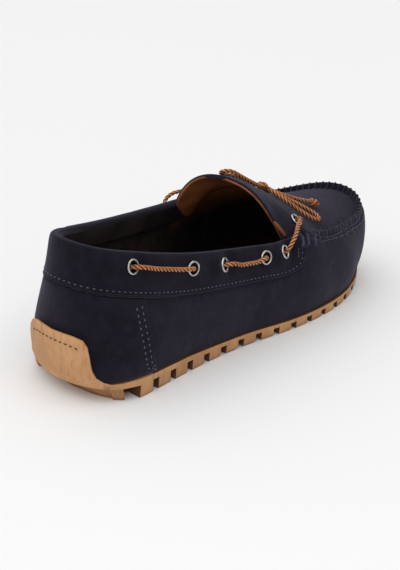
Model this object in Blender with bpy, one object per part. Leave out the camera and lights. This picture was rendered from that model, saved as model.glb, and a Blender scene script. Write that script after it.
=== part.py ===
"""Laced suede driving loafer, right foot, standing empty on its lugged rubber sole.

The upper is one hollow wall worked out from a feather line, a top line and a crown
table.  Collar band, heel counter, tongue, insole and outsole are cut from the same
functions.  Heel back is at X = 0 and the toe points along +X until the last step,
which sets the origin under the middle of the shoe.  Tables are in millimetres.
"""

import math

import bmesh
import bpy
import numpy as np
from mathutils import Matrix, Vector

MM = 0.001
GAP = 0.3                  # clearance between touching pieces
SEAT = 0.45                # clearance of an overlay on the faceted upper
WALL = 2.0                 # suede and lining of the upper
MARGIN = 8.0               # upper turned in under the foot
TOE_SPRING = 8.5           # rise of the sole at the very tip
SPRING_FROM = 212.0        # the sole leaves the floor in front of this
SPRING_TO = 279.0
ARCH_RISE = 0.8
ARCH = (82.0, 158.0)

BAND_DEPTH = 20.0          # collar band below the rim
BAND_THICK = 1.4
BAND_LINING = 1.1          # the part of the band inside the shoe
BAND_INSIDE = 11.0         # collar band turned in over the rim
COUNTER_THICK = 1.1
TONGUE_THICK = 2.3
TONGUE_TUCK = 9.0          # lower sides of the tongue behind the collar
TONGUE_REAR = 138.5        # middle of the tongue's rear edge
INSOLE_THICK = 2.6

RIDGE_WIDTH = 3.4          # standing seam round the apron
RIDGE_RAISE = 3.0
APRON_SINK = 0.9           # apron lies this far below the foot of the seam

LUG_PITCH = 14.4
NOTCH = 4.8
LUG_DEPTH = 6.5
LUG_SHARE = 0.68           # part of the sole's thickness taken by the lugs
TREAD_UP = 0.8             # field between the lugs stays this far off the floor
SOLE_LIP = 1.4             # sole edge outside the feather line
HEEL_LIP = 3.2             # outer face of the heel flap where it meets the sole edge
HEEL_PLATE = 1.2           # more sole edge round the heel
HEEL_RUN = 36.5            # heel back to the first notch, along the sole edge
FIRST_NOTCH = 10.3         # the notch next to the heel is wider
BLOCK_RUN = 30.0           # half width of the heel block, along the sole edge
BLOCK_MARKS = (0.0, 7.0, 12.0, 18.6, 23.2, 26.5)
BLOCK_SET = 3.0            # heel block set in under the flap at the heel back
BLOCK_BEVEL = 5.0          # and this much more at the floor
HEEL_CURL = 5.0            # rise of the flap's lower edge at the heel back
FLAP_THICK = 1.5
FLAP_ROOT = 2.4            # lower edge of the flap runs this far into the plate

LACE = 2.5
EYELET_RING = 3.3
EYELET_WIRE = 0.95
COLLAR_EYELETS = (         # x, distance below the lateral rim and the medial rim
    (33.5, 5.0, 5.0),
    (76.0, 5.7, 6.5),
    (100.0, 5.2, 6.5),
    (134.0, 4.6, 6.5),
    (150.5, 3.4, 6.5),
)
SADDLE_EYELET = (173.0, -33.4, 32.0)    # x, lateral y, medial y
THROAT_BOW = (-6.0, 6.5, 4.0)    # the lace's last run stands off its straight line

# Thickness of the sole: x, thickness
SOLE = (
    (0.0, 10.8),
    (45.0, 10.2),
    (75.0, 9.2),
    (110.0, 7.0),
    (150.0, 6.5),
    (280.0, 6.3),
)

# Upper edge of the heel flap: distance from the heel back along the sole, height
FLAP = (
    (0.0, 35.8),
    (7.0, 36.0),
    (12.0, 35.7),
    (16.2, 34.6),
    (18.6, 31.4),
    (19.8, 26.8),
    (20.6, 22.0),
    (21.5, 18.2),
    (23.2, 14.8),
    (26.5, 12.4),
    (30.0, 10.8),
    (34.0, 10.1),
)

# Stations round the shoe: heel back, lateral side, toe, medial side.
# foot x, foot y, top x, top y, top z, lower fullness, upper fullness, its height share
# A top z of None lies on the crown surface.
STATIONS = (
    (7.5, -1.0, 12.0, 0.0, 78.3, 2.3, 1.0, 0.70),
    (8.5, -15.5, 15.5, -13.0, 77.2, 3.0, 1.0, 0.70),
    (16.0, -28.3, 27.0, -21.0, 74.6, 3.0, 1.5, 0.70),
    (36.0, -34.3, 46.0, -25.8, 69.9, 4.0, 2.0, 0.70),
    (66.0, -35.0, 73.0, -28.5, 63.0, 4.5, 2.5, 0.70),
    (98.0, -36.2, 101.0, -32.5, 58.2, 4.0, 3.0, 0.70),
    (128.0, -40.0, 129.0, -36.0, 54.4, 4.0, 3.5, 0.72),
    (154.0, -45.0, 153.0, -39.0, 51.8, 4.0, 4.5, 0.78),
    (179.0, -48.0, 177.0, -42.0, None, 4.5, 6.0, 0.88),
    (204.0, -48.0, 200.0, -44.0, None, 5.0, 6.5, 0.92),
    (228.0, -44.2, 223.0, -41.5, None, 5.5, 6.5, 0.94),
    (249.0, -36.5, 245.0, -37.5, None, 6.0, 5.0, 0.95),
    (265.0, -25.5, 261.8, -28.8, None, 6.0, 4.6, 0.95),
    (275.0, -12.5, 270.8, -15.0, None, 6.0, 5.4, 0.95),
    (278.0, 2.0, 272.5, 1.5, None, 6.0, 6.5, 0.95),
    (274.5, 15.0, 268.5, 14.5, None, 6.0, 6.5, 0.95),
    (263.5, 27.0, 258.0, 24.5, None, 6.0, 7.0, 0.95),
    (246.0, 37.5, 240.0, 31.5, None, 5.5, 8.0, 0.96),
    (224.0, 45.0, 218.0, 36.5, None, 5.0, 8.5, 0.96),
    (199.0, 47.0, 194.0, 38.5, None, 4.5, 8.5, 0.94),
    (175.0, 43.0, 172.0, 38.0, None, 4.0, 7.0, 0.88),
    (150.0, 36.5, 150.0, 36.0, 58.0, 4.0, 4.5, 0.78),
    (124.0, 32.0, 126.0, 33.0, 60.5, 4.5, 3.5, 0.72),
    (95.0, 30.5, 98.0, 30.5, 63.5, 5.0, 3.0, 0.70),
    (65.0, 31.5, 70.0, 27.5, 67.0, 4.5, 2.5, 0.70),
    (37.0, 32.5, 44.0, 25.0, 71.0, 4.0, 2.0, 0.70),
    (19.5, 24.8, 27.0, 20.0, 74.8, 3.0, 1.5, 0.70),
    (11.6, 12.6, 15.8, 12.0, 77.3, 1.8, 1.0, 0.70),
)
THROAT_LATERAL = 8         # stations where the collar ends and the apron seam starts
THROAT_MEDIAL = 20
TOE = 14

# Depth of the collar band below the lateral rim, which dips toward the throat: x, depth
BAND_LATERAL = (
    (45.0, 20.0),
    (73.0, 19.1),
    (101.0, 18.2),
    (129.0, 17.3),
    (153.0, 16.3),
)

# Crown of apron and tongue: x, height on the crest, drop 30 mm off it, crest y
CROWN = (
    (125.0, 92.5, 14.0, -3.0),
    (140.0, 87.3, 14.0, -3.0),
    (155.0, 82.8, 19.0, -2.5),
    (170.0, 75.2, 11.8, -1.0),
    (190.0, 65.6, 9.0, -1.0),
    (210.0, 59.0, 7.4, -1.5),
    (230.0, 54.8, 7.0, -3.0),
    (250.0, 52.0, 7.9, -5.0),
    (270.0, 50.6, 7.5, -9.0),
)


# ---------------------------------------------------------------- smooth tables

def smooth(table, column, x):
    """Value of one column of a table at x, on a smooth curve through its rows."""
    keys = np.array([row[0] for row in table])
    values = np.array([row[column] for row in table])
    slopes = np.gradient(values, keys)
    x = min(max(x, keys[0]), keys[-1])
    i = min(int(np.searchsorted(keys, x, side="right")) - 1, len(keys) - 2)
    span = keys[i + 1] - keys[i]
    t = (x - keys[i]) / span
    a = (1 + 2 * t) * (1 - t) ** 2 * values[i] + t * (1 - t) ** 2 * span * slopes[i]
    b = t * t * (3 - 2 * t) * values[i + 1] - t * t * (1 - t) * span * slopes[i + 1]
    return float(a + b)


def ease(t):
    """0 to 1 with level ends."""
    t = min(max(t, 0.0), 1.0)
    return t * t * (3 - 2 * t)


def crown_z(x, y):
    """Height of apron and tongue above the floor."""
    off = (y - smooth(CROWN, 3, x)) / 30.0
    return smooth(CROWN, 1, x) - smooth(CROWN, 2, x) * off * off


def loop_slopes(values):
    """Tangents of the closed cubic spline through evenly numbered stations."""
    n = len(values)
    matrix = 4.0 * np.eye(n) + np.roll(np.eye(n), 1, axis=1) + np.roll(np.eye(n), -1, axis=1)
    return np.linalg.solve(matrix, 3.0 * (np.roll(values, -1, axis=0) - np.roll(values, 1, axis=0)))


def station_rows():
    rows = []
    for row in STATIONS:
        top_z = crown_z(row[2], row[3]) if row[4] is None else row[4]
        rows.append(row[:4] + (top_z,) + row[5:])
    return np.array(rows)


ROWS = station_rows()
SLOPES = loop_slopes(ROWS)
COUNT = len(STATIONS)


def around(u):
    """All station columns at position u, counted in stations round the shoe."""
    i = int(math.floor(u)) % COUNT
    j = (i + 1) % COUNT
    t = u - math.floor(u)
    return ((1 + 2 * t) * (1 - t) ** 2 * ROWS[i] + t * (1 - t) ** 2 * SLOPES[i]
            + t * t * (3 - 2 * t) * ROWS[j] - t * t * (1 - t) * SLOPES[j])


def sole_lift(x):
    """Rise of the sole over the flat: toe spring and the arch."""
    lift = 0.0
    if x > SPRING_FROM:
        lift = TOE_SPRING * ((x - SPRING_FROM) / (SPRING_TO - SPRING_FROM)) ** 2
    if ARCH[0] < x < ARCH[1]:
        lift += ARCH_RISE * math.sin(math.pi * (x - ARCH[0]) / (ARCH[1] - ARCH[0])) ** 2
    return lift


def floor_z(x):
    """Height of the sole's upper face, with the clearance of what lies on it."""
    return smooth(SOLE, 1, x) + sole_lift(x) + GAP


def outward(u):
    """Level direction out of the shoe at u."""
    step = around(u + 0.02)[:2] - around(u - 0.02)[:2]
    side = np.array([step[1], -step[0], 0.0])
    return side / np.linalg.norm(side)


def foot_point(u):
    row = around(u)
    return np.array([row[0], row[1], floor_z(row[0])])


def top_point(u):
    row = around(u)
    lateral_to_medial = THROAT_LATERAL <= u % COUNT <= THROAT_MEDIAL
    z = crown_z(row[2], row[3]) if lateral_to_medial else row[4]
    return np.array([row[2], row[3], z])


def bare_wall(u, v):
    """Outer face of the upper: v = 0 at the feather line, 1 at the top line."""
    row = around(u)
    foot, top, out = foot_point(u), top_point(u), outward(u)
    height = top[2] - foot[2]
    low = foot + out * row[5] + np.array([0, 0, 0.30 * height])
    high = top + out * row[6]
    high[2] = foot[2] + row[7] * height
    return ((1 - v) ** 3 * foot + 3 * v * (1 - v) ** 2 * low
            + 3 * v * v * (1 - v) * high + v ** 3 * top)


def wall_frame(u, v):
    """Point, outward normal and upward tangent of the wall."""
    v_low, v_high = max(v - 0.02, 0.0), min(v + 0.02, 1.0)
    up = bare_wall(u, v_high) - bare_wall(u, v_low)
    along = bare_wall(u + 0.03, v) - bare_wall(u - 0.03, v)
    normal = np.cross(along, up)
    normal /= np.linalg.norm(normal)
    if np.dot(normal, outward(u)) < 0:
        normal = -normal
    return bare_wall(u, v), normal, up / np.linalg.norm(up)


def wall_point(u, v, out=0.0):
    point, normal, _ = wall_frame(u, v)
    return point + normal * out


def v_at_height(u, z):
    """Position v on the wall where it stands at height z."""
    steps = np.linspace(0.0, 1.0, 41)
    heights = [bare_wall(u, v)[2] for v in steps]
    return float(np.interp(z, heights, steps))


def u_at_x(x, medial):
    """Station number where the top line passes x on one side."""
    steps = np.linspace(TOE, COUNT, 281) if medial else np.linspace(0.0, TOE, 281)
    xs = [around(u)[2] for u in steps]
    if medial:
        return float(np.interp(-x, [-value for value in xs], steps))
    return float(np.interp(x, xs, steps))


# ---------------------------------------------------------------- scene helpers

def clear_scene():
    for obj in list(bpy.data.objects):
        bpy.data.objects.remove(obj, do_unlink=True)


def new_collection(name):
    collection = bpy.data.collections.new(name)
    bpy.context.scene.collection.children.link(collection)
    return collection


def material(name, color, roughness, metallic=0.0):
    mat = bpy.data.materials.new(name)
    mat.use_nodes = True
    shader = mat.node_tree.nodes["Principled BSDF"]
    shader.inputs["Base Color"].default_value = (*color, 1.0)
    shader.inputs["Roughness"].default_value = roughness
    shader.inputs["Metallic"].default_value = metallic
    return mat


def finish_mesh(bm, name, collection, mat):
    """Closed mesh in millimetres to a smooth-shaded object in metres."""
    bmesh.ops.recalc_face_normals(bm, faces=bm.faces)
    bmesh.ops.scale(bm, vec=(MM, MM, MM), verts=bm.verts)
    mesh = bpy.data.meshes.new(name)
    bm.to_mesh(mesh)
    bm.free()
    mesh.shade_smooth()
    mesh.set_sharp_from_angle(angle=math.radians(40))
    mesh.materials.append(mat)
    obj = bpy.data.objects.new(name, mesh)
    collection.objects.link(obj)
    return obj


def thick_sheet(cells, outer, inner):
    """Two skins over the same cells, closed along every free edge."""
    bm = bmesh.new()
    top = {key: bm.verts.new(point) for key, point in outer.items()}
    low = {key: bm.verts.new(point) for key, point in inner.items()}
    edges = {}
    for cell in cells:
        bm.faces.new([top[key] for key in cell])
        bm.faces.new([low[key] for key in reversed(cell)])
        for a, b in zip(cell, cell[1:] + cell[:1]):
            edges.setdefault(frozenset((a, b)), []).append((a, b))
    for uses in edges.values():
        if len(uses) == 1:
            a, b = uses[0]
            bm.faces.new([top[b], top[a], low[a], low[b]])
    return bm


def grid_cells(columns, levels, closed=False):
    """Cells between named columns and levels of a grid."""
    pairs = list(zip(columns, columns[1:]))
    if closed:
        pairs.append((columns[-1], columns[0]))
    return [[(a, low), (b, low), (b, high), (a, high)]
            for a, b in pairs for low, high in zip(levels, levels[1:])]


def cord(name, points, collection, mat, width=LACE, widths=None):
    """Plain round tube through points, with closed ends."""
    curve = bpy.data.curves.new(name, "CURVE")
    curve.dimensions = "3D"
    curve.bevel_depth = width * MM / 2
    curve.bevel_resolution = 2
    curve.use_fill_caps = True
    spline = curve.splines.new("POLY")
    spline.points.add(len(points) - 1)
    for i, point in enumerate(points):
        spline.points[i].co = (*(np.array(point) * MM), 1.0)
        spline.points[i].radius = widths[i] if widths else 1.0
    curve.materials.append(mat)
    obj = bpy.data.objects.new(name, curve)
    collection.objects.link(obj)
    return obj


def curve_through(route, count):
    """Evenly spaced points on a smooth curve through the points of a route."""
    route = np.array(route, dtype=float)
    keys = np.concatenate([[0.0], np.cumsum(np.linalg.norm(np.diff(route, axis=0), axis=1))])
    table = [(key, *point) for key, point in zip(keys, route)]
    return [[smooth(table, axis, s) for axis in (1, 2, 3)] for s in np.linspace(0, keys[-1], count)]


# ---------------------------------------------------------------- upper

def build_upper(collection, mat):
    """Wall from heel to toe and back, turned in below, with seam and apron on top."""
    sides = [i / 2 for i in range(0, 2 * COUNT)]
    vamp = [u for u in sides if THROAT_LATERAL <= u <= THROAT_MEDIAL]
    levels = [0.0, 0.09, 0.2, 0.34, 0.5, 0.66, 0.8, 0.9, 1.0]
    seam = (0.33, 0.67, 1.0)                   # shares of the ridge width
    base, raised = {}, {}

    for u in sides:
        foot = foot_point(u)
        turned = foot - outward(u) * MARGIN
        turned[2] = floor_z(turned[0])
        base[u, "in"] = turned
        for v in levels:
            base[u, v] = bare_wall(u, v)
    for u in vamp:
        centre = np.array([min(top_point(u)[0], 240.0), 1.0, 0.0])
        top = top_point(u)
        inward = centre - top
        inward[2] = 0.0
        inward /= np.linalg.norm(inward)
        fade = ease(min(u - THROAT_LATERAL, THROAT_MEDIAL - u) / 0.8)
        for share in seam:
            point = top + inward * RIDGE_WIDTH * share
            point[2] = crown_z(point[0], point[1]) - APRON_SINK * share
            base[u, "seam", share] = point
            lift = RIDGE_RAISE * fade if share < 1.0 else 0.0
            raised[u, "seam", share] = np.array([0.0, 0.0, lift])

    cells = [[(a, low), (b, low), (b, high), (a, high)]
             for a, b in zip(sides, sides[1:] + sides[:1])
             for low, high in zip(["in"] + levels, levels)]
    for a, b in zip(vamp, vamp[1:]):
        chain_a = [(a, 1.0)] + [(a, "seam", share) for share in seam]
        chain_b = [(b, 1.0)] + [(b, "seam", share) for share in seam]
        cells += [[chain_a[i], chain_b[i], chain_b[i + 1], chain_a[i + 1]] for i in range(len(seam))]

    across = [i / 8 for i in range(1, 8)]      # apron from the lateral to the medial seam
    pairs = [(u, THROAT_LATERAL + THROAT_MEDIAL - u) for u in vamp if u < TOE]
    for left, right in pairs:
        a, b = base[left, "seam", 1.0], base[right, "seam", 1.0]
        for share in across:
            point = a + (b - a) * share
            point[2] = crown_z(point[0], point[1]) - APRON_SINK
            base[left, "apron", share] = point
    chains = [[(left, "seam", 1.0)] + [(left, "apron", share) for share in across]
              + [(right, "seam", 1.0)] for left, right in pairs]
    for row, ahead in zip(chains, chains[1:]):
        cells += [[row[i], ahead[i], ahead[i + 1], row[i + 1]] for i in range(len(row) - 1)]
    tip = (float(TOE), "seam", 1.0)
    cells += [[chains[-1][i], tip, chains[-1][i + 1]] for i in range(len(chains[-1]) - 1)]

    skin = bmesh.new()
    verts = {key: skin.verts.new(point) for key, point in base.items()}
    for cell in cells:
        skin.faces.new([verts[key] for key in cell])
    skin.normal_update()
    inner = {}
    for key, vert in verts.items():
        factor = min(vert.calc_shell_factor(), 1.5)
        inner[key] = np.array(vert.co - vert.normal * WALL * factor)
    skin.free()
    outer = {key: point + raised.get(key, 0.0) for key, point in base.items()}
    return finish_mesh(thick_sheet(cells, outer, inner), "upper", collection, mat)


# ---------------------------------------------------------------- overlays

def band_depth(u, first, last):
    """Depth of the collar band below the rim, rounded off at its two ends."""
    from_end = min(abs(u - first), abs(last - u)) / 0.55
    corner = math.sqrt(max(0.0, 1.0 - (1.0 - min(from_end, 1.0)) ** 2))
    rim = top_point(u)
    depth = smooth(BAND_LATERAL, 1, rim[0]) if rim[1] < 0.0 else BAND_DEPTH
    return depth * (0.42 + 0.58 * corner)


def band_section(u, first, last):
    """Closed outline of the band: up the outside, over the rim, down the inside."""
    rim = top_point(u)
    v_low = v_at_height(u, rim[2] - band_depth(u, first, last))
    v_in = v_at_height(u, rim[2] - BAND_INSIDE)
    face_out = SEAT + BAND_THICK
    face_in = WALL + SEAT + BAND_LINING
    point, normal, up = wall_frame(u, 1.0)
    middle = point + (face_out - face_in) / 2 * normal
    half = (face_out + face_in) / 2
    crest = [middle + normal * half * math.cos(a) + up * (0.6 + half * 0.75 * math.sin(a))
             for a in (math.radians(d) for d in (20, 60, 120, 160))]
    outside = [wall_point(u, v, face_out) for v in np.linspace(v_low, 1.0, 5)[:-1]]
    inside = [wall_point(u, v, -face_in) for v in (0.5 * (v_in + 1.0), v_in)]
    back_in = [wall_point(u, v, -WALL - SEAT) for v in (v_in, 0.5 * (v_in + 1.0))]
    notch = [point - normal * (WALL + SEAT) + up * GAP, point + normal * SEAT + up * GAP]
    back_out = [wall_point(u, v, SEAT) for v in np.linspace(1.0, v_low, 5)[1:]]
    return outside + crest + inside + back_in + notch + back_out


def build_collar_band(collection, mat):
    """Padded band folded over the rim from one throat corner round the heel to the other."""
    first = u_at_x(168.0, True)
    last = COUNT + u_at_x(168.0, False)
    whole = [i / 2 for i in range(math.ceil(2 * first + 0.9), math.floor(2 * last - 0.9) + 1)]
    steps = [first, first + 0.1, first + 0.3, *whole, last - 0.3, last - 0.1, last]
    bm = bmesh.new()
    rings = [[bm.verts.new(point) for point in band_section(u, first, last)] for u in steps]
    for ring, ahead in zip(rings, rings[1:]):
        for i in range(len(ring)):
            j = (i + 1) % len(ring)
            bm.faces.new([ring[i], ahead[i], ahead[j], ring[j]])
    bm.faces.new(rings[0])
    bm.faces.new(list(reversed(rings[-1])))
    return finish_mesh(bm, "collar_band", collection, mat)


def build_counter(collection, mat):
    """Heel panel between sole and collar band, ending in a slanting side seam."""
    whole = [i / 2 for i in range(-5, 6)]       # stations either side of the heel back
    columns = [-4, -3, *whole, 3, 4]            # the outer two follow the slanting seam
    levels = [0.0, 0.25, 0.5, 0.75, 1.0]
    outer, inner = {}, {}
    for column in columns:
        for level in levels:
            seam = 3.3 - 0.5 * level
            u = {3: min(3.0, seam - 0.1), 4: seam}.get(abs(column), abs(column))
            u = math.copysign(u, column)
            v_low = v_at_height(u, foot_point(u)[2] + 1.0)
            v_high = v_at_height(u, top_point(u)[2] - BAND_DEPTH - 0.6)
            v = v_low + (v_high - v_low) * level
            inner[column, level] = wall_point(u, v, SEAT)
            outer[column, level] = wall_point(u, v, SEAT + COUNTER_THICK)
    cells = grid_cells(columns, levels)
    return finish_mesh(thick_sheet(cells, outer, inner), "heel_counter", collection, mat)


def tongue_side(x, medial):
    """Half width of the tongue, inside the collar band and then inside the throat."""
    clearance = 4.4 - 1.8 * ease((x - 165.0) / 6.0)
    return abs(around(u_at_x(x, medial))[3]) - clearance


def tongue_point(x_share, across):
    """Tongue surface: x_share 0 at the arched rear edge, 1 at the apron."""
    front = 174.5 - 2.5 * across - 2.0 * GAP
    if across < 0.0:
        rear = TONGUE_REAR + 24.5 * (math.hypot(across, 0.12) - 0.12)
    else:
        rear = TONGUE_REAR + 3.0 * across * across
    x = rear + (front - rear) * x_share
    y = across * tongue_side(x, across > 0)
    hold = 1.0 - 0.3 * max(across, 0.0) * (1.0 - x_share)
    tuck = TONGUE_TUCK * hold * (1.0 - ease((x - 158.0) / 12.0)) * abs(across) ** 6
    return np.array([x, y, crown_z(x, y) - APRON_SINK - tuck])


def tongue_frame(x_share, across):
    point = tongue_point(x_share, across)
    d_x = tongue_point(x_share + 0.02, across) - tongue_point(x_share - 0.02, across)
    d_y = tongue_point(x_share, across + 0.02) - tongue_point(x_share, across - 0.02)
    normal = np.cross(d_x, d_y)
    return point, normal / np.linalg.norm(normal)


def build_tongue(collection, mat):
    """Saddle and tongue carrying the apron's crown on up over the instep."""
    columns = list(np.linspace(-1.0, 1.0, 15))
    levels = [0.0, 0.2, 0.4, 0.6, 0.8, 1.0]
    outer, inner = {}, {}
    for across in columns:
        for level in levels:
            point, normal = tongue_frame(level, across)
            outer[across, level] = point
            inner[across, level] = point - normal * TONGUE_THICK
    cells = grid_cells(columns, levels)
    return finish_mesh(thick_sheet(cells, outer, inner), "tongue", collection, mat)


def build_insole(collection, mat):
    """Sock and insole lying on the turned-in upper."""
    sides = [i / 2 for i in range(0, 2 * COUNT)]
    outer, inner = {}, {}
    for u in sides:
        edge = foot_point(u) - outward(u) * (WALL + 0.7)
        edge[2] = floor_z(edge[0]) + WALL + GAP
        inner[u, 0] = edge
        outer[u, 0] = edge + np.array([0.0, 0.0, INSOLE_THICK])
    pairs = [(u, (COUNT - u) % COUNT) for u in sides if 0 < u < TOE]
    across = (0.25, 0.5, 0.75)
    for left, right in pairs:
        for skin in (inner, outer):
            for share in across:
                skin[left, share] = skin[left, 0] * (1 - share) + skin[right, 0] * share
    chains = [[(left, 0)] + [(left, share) for share in across] + [(right, 0)] for left, right in pairs]
    heel, tip = (0.0, 0), (float(TOE), 0)
    cells = [[heel, chains[0][i], chains[0][i + 1]] for i in range(4)]
    for row, ahead in zip(chains, chains[1:]):
        cells += [[row[i], ahead[i], ahead[i + 1], row[i + 1]] for i in range(4)]
    cells += [[chains[-1][i], tip, chains[-1][i + 1]] for i in range(4)]
    return finish_mesh(thick_sheet(cells, outer, inner), "insole", collection, mat)


# ---------------------------------------------------------------- outsole

def edge_runs():
    """Stations round the shoe with the distance walked along the feather line."""
    steps = np.linspace(0.0, COUNT, 1121)
    points = np.array([foot_point(u)[:2] for u in steps])
    return steps, np.concatenate([[0.0], np.cumsum(np.linalg.norm(np.diff(points, axis=0), axis=1))])


def heel_share(run):
    """1 at the heel back, fading to 0 where the flap has run out into the sole's side."""
    return 1.0 - ease((abs(run) - 20.0) / (HEEL_RUN - 18.0))


def block_share(run):
    """1 at the heel back, fading to 0 at the sides of the heel block."""
    return 1.0 - ease((abs(run) - 8.0) / 26.0)


def curl_share(run):
    """1 along the back of the flap's lower edge, fading to 0 at its corners."""
    return 1.0 - ease((abs(run) - 17.0) / 20.0)


def plate_lip(run):
    """Reach of the sole edge outside the feather line."""
    return SOLE_LIP + HEEL_PLATE * (1.0 - ease((abs(run) - HEEL_RUN) / 30.0))


def sole_edge(u, inset, share):
    """Point of the sole: moved in from its edge, at a share of the local thickness."""
    foot, out = foot_point(u), outward(u)
    point = foot - out * inset
    point[2] = share * smooth(SOLE, 1, point[0]) + sole_lift(point[0])
    return point


def lug_marks(total):
    """Distances along the sole edge, and what starts at each: heel, notch or lug."""
    first = HEEL_RUN + FIRST_NOTCH - NOTCH
    pitches = round((total - 2 * first - NOTCH) / LUG_PITCH)
    pitch = (total - 2 * first - NOTCH) / pitches
    marks = [(run, "heel") for run in BLOCK_MARKS] + [(BLOCK_RUN, "lug"), (HEEL_RUN, "notch")]
    for i in range(pitches):
        start = first + i * pitch
        if i > 0:
            marks.append((start, "notch"))
        marks += [(start + NOTCH, "lug"), (start + (pitch + NOTCH) / 2, "lug")]
    marks += [(total - first - NOTCH, "notch"), (total - HEEL_RUN, "lug")]
    return marks + [(total - run, "heel") for run in (BLOCK_RUN, *BLOCK_MARKS[:0:-1])]


def join_across(bm, ring):
    """Faces joining the lateral half of a ring to its medial half."""
    left, right = 1, len(ring) - 1
    faces = [bm.faces.new([ring[0], ring[left], ring[right]])]
    while right - left > 2:
        faces.append(bm.faces.new([ring[left], ring[left + 1], ring[right - 1], ring[right]]))
        left, right = left + 1, right - 1
    if right - left == 2:
        faces.append(bm.faces.new([ring[left], ring[left + 1], ring[right]]))
    return faces


def push_down(bm, faces, height, tuck=0.0, bevel=0.0):
    """Lower a region of faces to a height above the floor, with walls round it."""
    result = bmesh.ops.extrude_face_region(bm, geom=faces)
    bmesh.ops.delete(bm, geom=faces, context="FACES_ONLY")
    moved = [item for item in result["geom"] if isinstance(item, bmesh.types.BMVert)]
    for vert in moved:
        vert.co.z = height + sole_lift(vert.co.x)
        vert.co.y -= math.copysign(tuck, vert.co.y)
        vert.co.x += bevel * (1.0 - ease((vert.co.x - 6.0) / 26.0))
    return [item for item in result["geom"] if isinstance(item, bmesh.types.BMFace)]


def build_outsole_body():
    """Plate with a ring of lugs and notches round it, and the heel block behind them."""
    steps, lengths = edge_runs()
    total = lengths[-1]
    marks = lug_marks(total)
    n = len(marks)
    bm = bmesh.new()
    stands = bm.faces.layers.int.new("stands")  # 1 where the sole touches the floor
    rings = {name: [] for name in ("top", "edge", "mid", "deep")}
    for mark, _ in marks:
        u = float(np.interp(mark, lengths, steps))
        run = min(mark, total - mark)
        heel, curl, lip = heel_share(run), curl_share(run), plate_lip(run)
        for name, inset, share in (
                ("top", -lip, 1.0),
                ("edge", -lip, LUG_SHARE + 0.12 * heel),
                ("mid", 0.6 + BLOCK_SET * block_share(run) - 1.4 * heel, LUG_SHARE - 0.1 * curl),
                ("deep", LUG_DEPTH, LUG_SHARE)):
            rings[name].append(bm.verts.new(sole_edge(u, inset, share)))

    strips = {}
    for high, low in (("top", "edge"), ("edge", "mid"), ("mid", "deep")):
        a, b = rings[high], rings[low]
        strips[low] = [bm.faces.new([a[i], a[(i + 1) % n], b[(i + 1) % n], b[i]]) for i in range(n)]
    join_across(bm, rings["top"])
    field = join_across(bm, rings["deep"])
    bmesh.ops.recalc_face_normals(bm, faces=bm.faces)

    lowered = list(field)
    for i, (_, kind) in enumerate(marks):
        if kind == "lug":
            lowered += [strips["mid"][i], strips["deep"][i]]
            strips["mid"][i][stands] = strips["deep"][i][stands] = 1
        elif kind == "heel":
            lowered.append(strips["deep"][i])
            strips["deep"][i][stands] = 1
    for face in field:
        if face.calc_center_median().x < 38.0:
            face[stands] = 1
    tread = push_down(bm, lowered, TREAD_UP, bevel=BLOCK_BEVEL)
    push_down(bm, [face for face in tread if face[stands]], 0.0, tuck=0.3)
    return bm


def build_flap():
    """Heel flap: rubber turned up the back of the heel with rounded upper corners."""
    steps, lengths = edge_runs()
    total = lengths[-1]
    runs = [row[0] for row in FLAP]
    columns = [-run for run in reversed(runs[1:])] + runs
    levels = [0.0, 0.25, 0.5, 0.78, 1.0]
    seat = SEAT + GAP + COUNTER_THICK
    outer, inner = {}, {}
    for run in columns:
        u = float(np.interp(run % total, lengths, steps))
        foot, out = foot_point(u), outward(u)
        top = smooth(FLAP, 1, abs(run))
        root = foot[2] - FLAP_ROOT
        curl = HEEL_CURL * curl_share(run)
        lip = plate_lip(run) - 0.4
        lip += (HEEL_LIP - lip) * heel_share(run)
        for level in levels:
            near_z = root + (top - root) * level
            near = wall_point(u, v_at_height(u, max(near_z, foot[2])), seat)
            far_z = root + curl + (top - root - curl) * level
            far = wall_point(u, v_at_height(u, max(far_z, foot[2])), seat + FLAP_THICK)
            merge = ease((foot[2] + 3.0 - far_z) / 3.0)
            far = far * (1 - merge) + (foot + out * lip) * merge
            near[2], far[2] = near_z, far_z
            inner[run, level], outer[run, level] = near, far
    return thick_sheet(grid_cells(columns, levels), outer, inner)


def build_outsole(collection, mat, cutters):
    body = finish_mesh(build_outsole_body(), "outsole", collection, mat)
    flap = finish_mesh(build_flap(), "flap_form", cutters, mat)
    flap.hide_render = True
    flap.display_type = "WIRE"
    join = body.modifiers.new("flap", "BOOLEAN")
    join.operation = "UNION"
    join.solver = "EXACT"
    join.object = flap
    return body


# ---------------------------------------------------------------- eyelets and lace

def collar_eyelet(x, below_lateral, below_medial, medial):
    u = u_at_x(x, medial)
    v = v_at_height(u, top_point(u)[2] - (below_medial if medial else below_lateral))
    point, normal, _ = wall_frame(u, v)
    return point + normal * (SEAT + BAND_THICK), normal


def saddle_eyelet(medial):
    x, y = SADDLE_EYELET[0], SADDLE_EYELET[2 if medial else 1]
    slope_x = (crown_z(x + 1, y) - crown_z(x - 1, y)) / 2
    slope_y = (crown_z(x, y + 1) - crown_z(x, y - 1)) / 2
    normal = np.array([-slope_x, -slope_y, 1.0])
    normal /= np.linalg.norm(normal)
    return np.array([x, y, crown_z(x, y) - APRON_SINK]), normal


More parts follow.
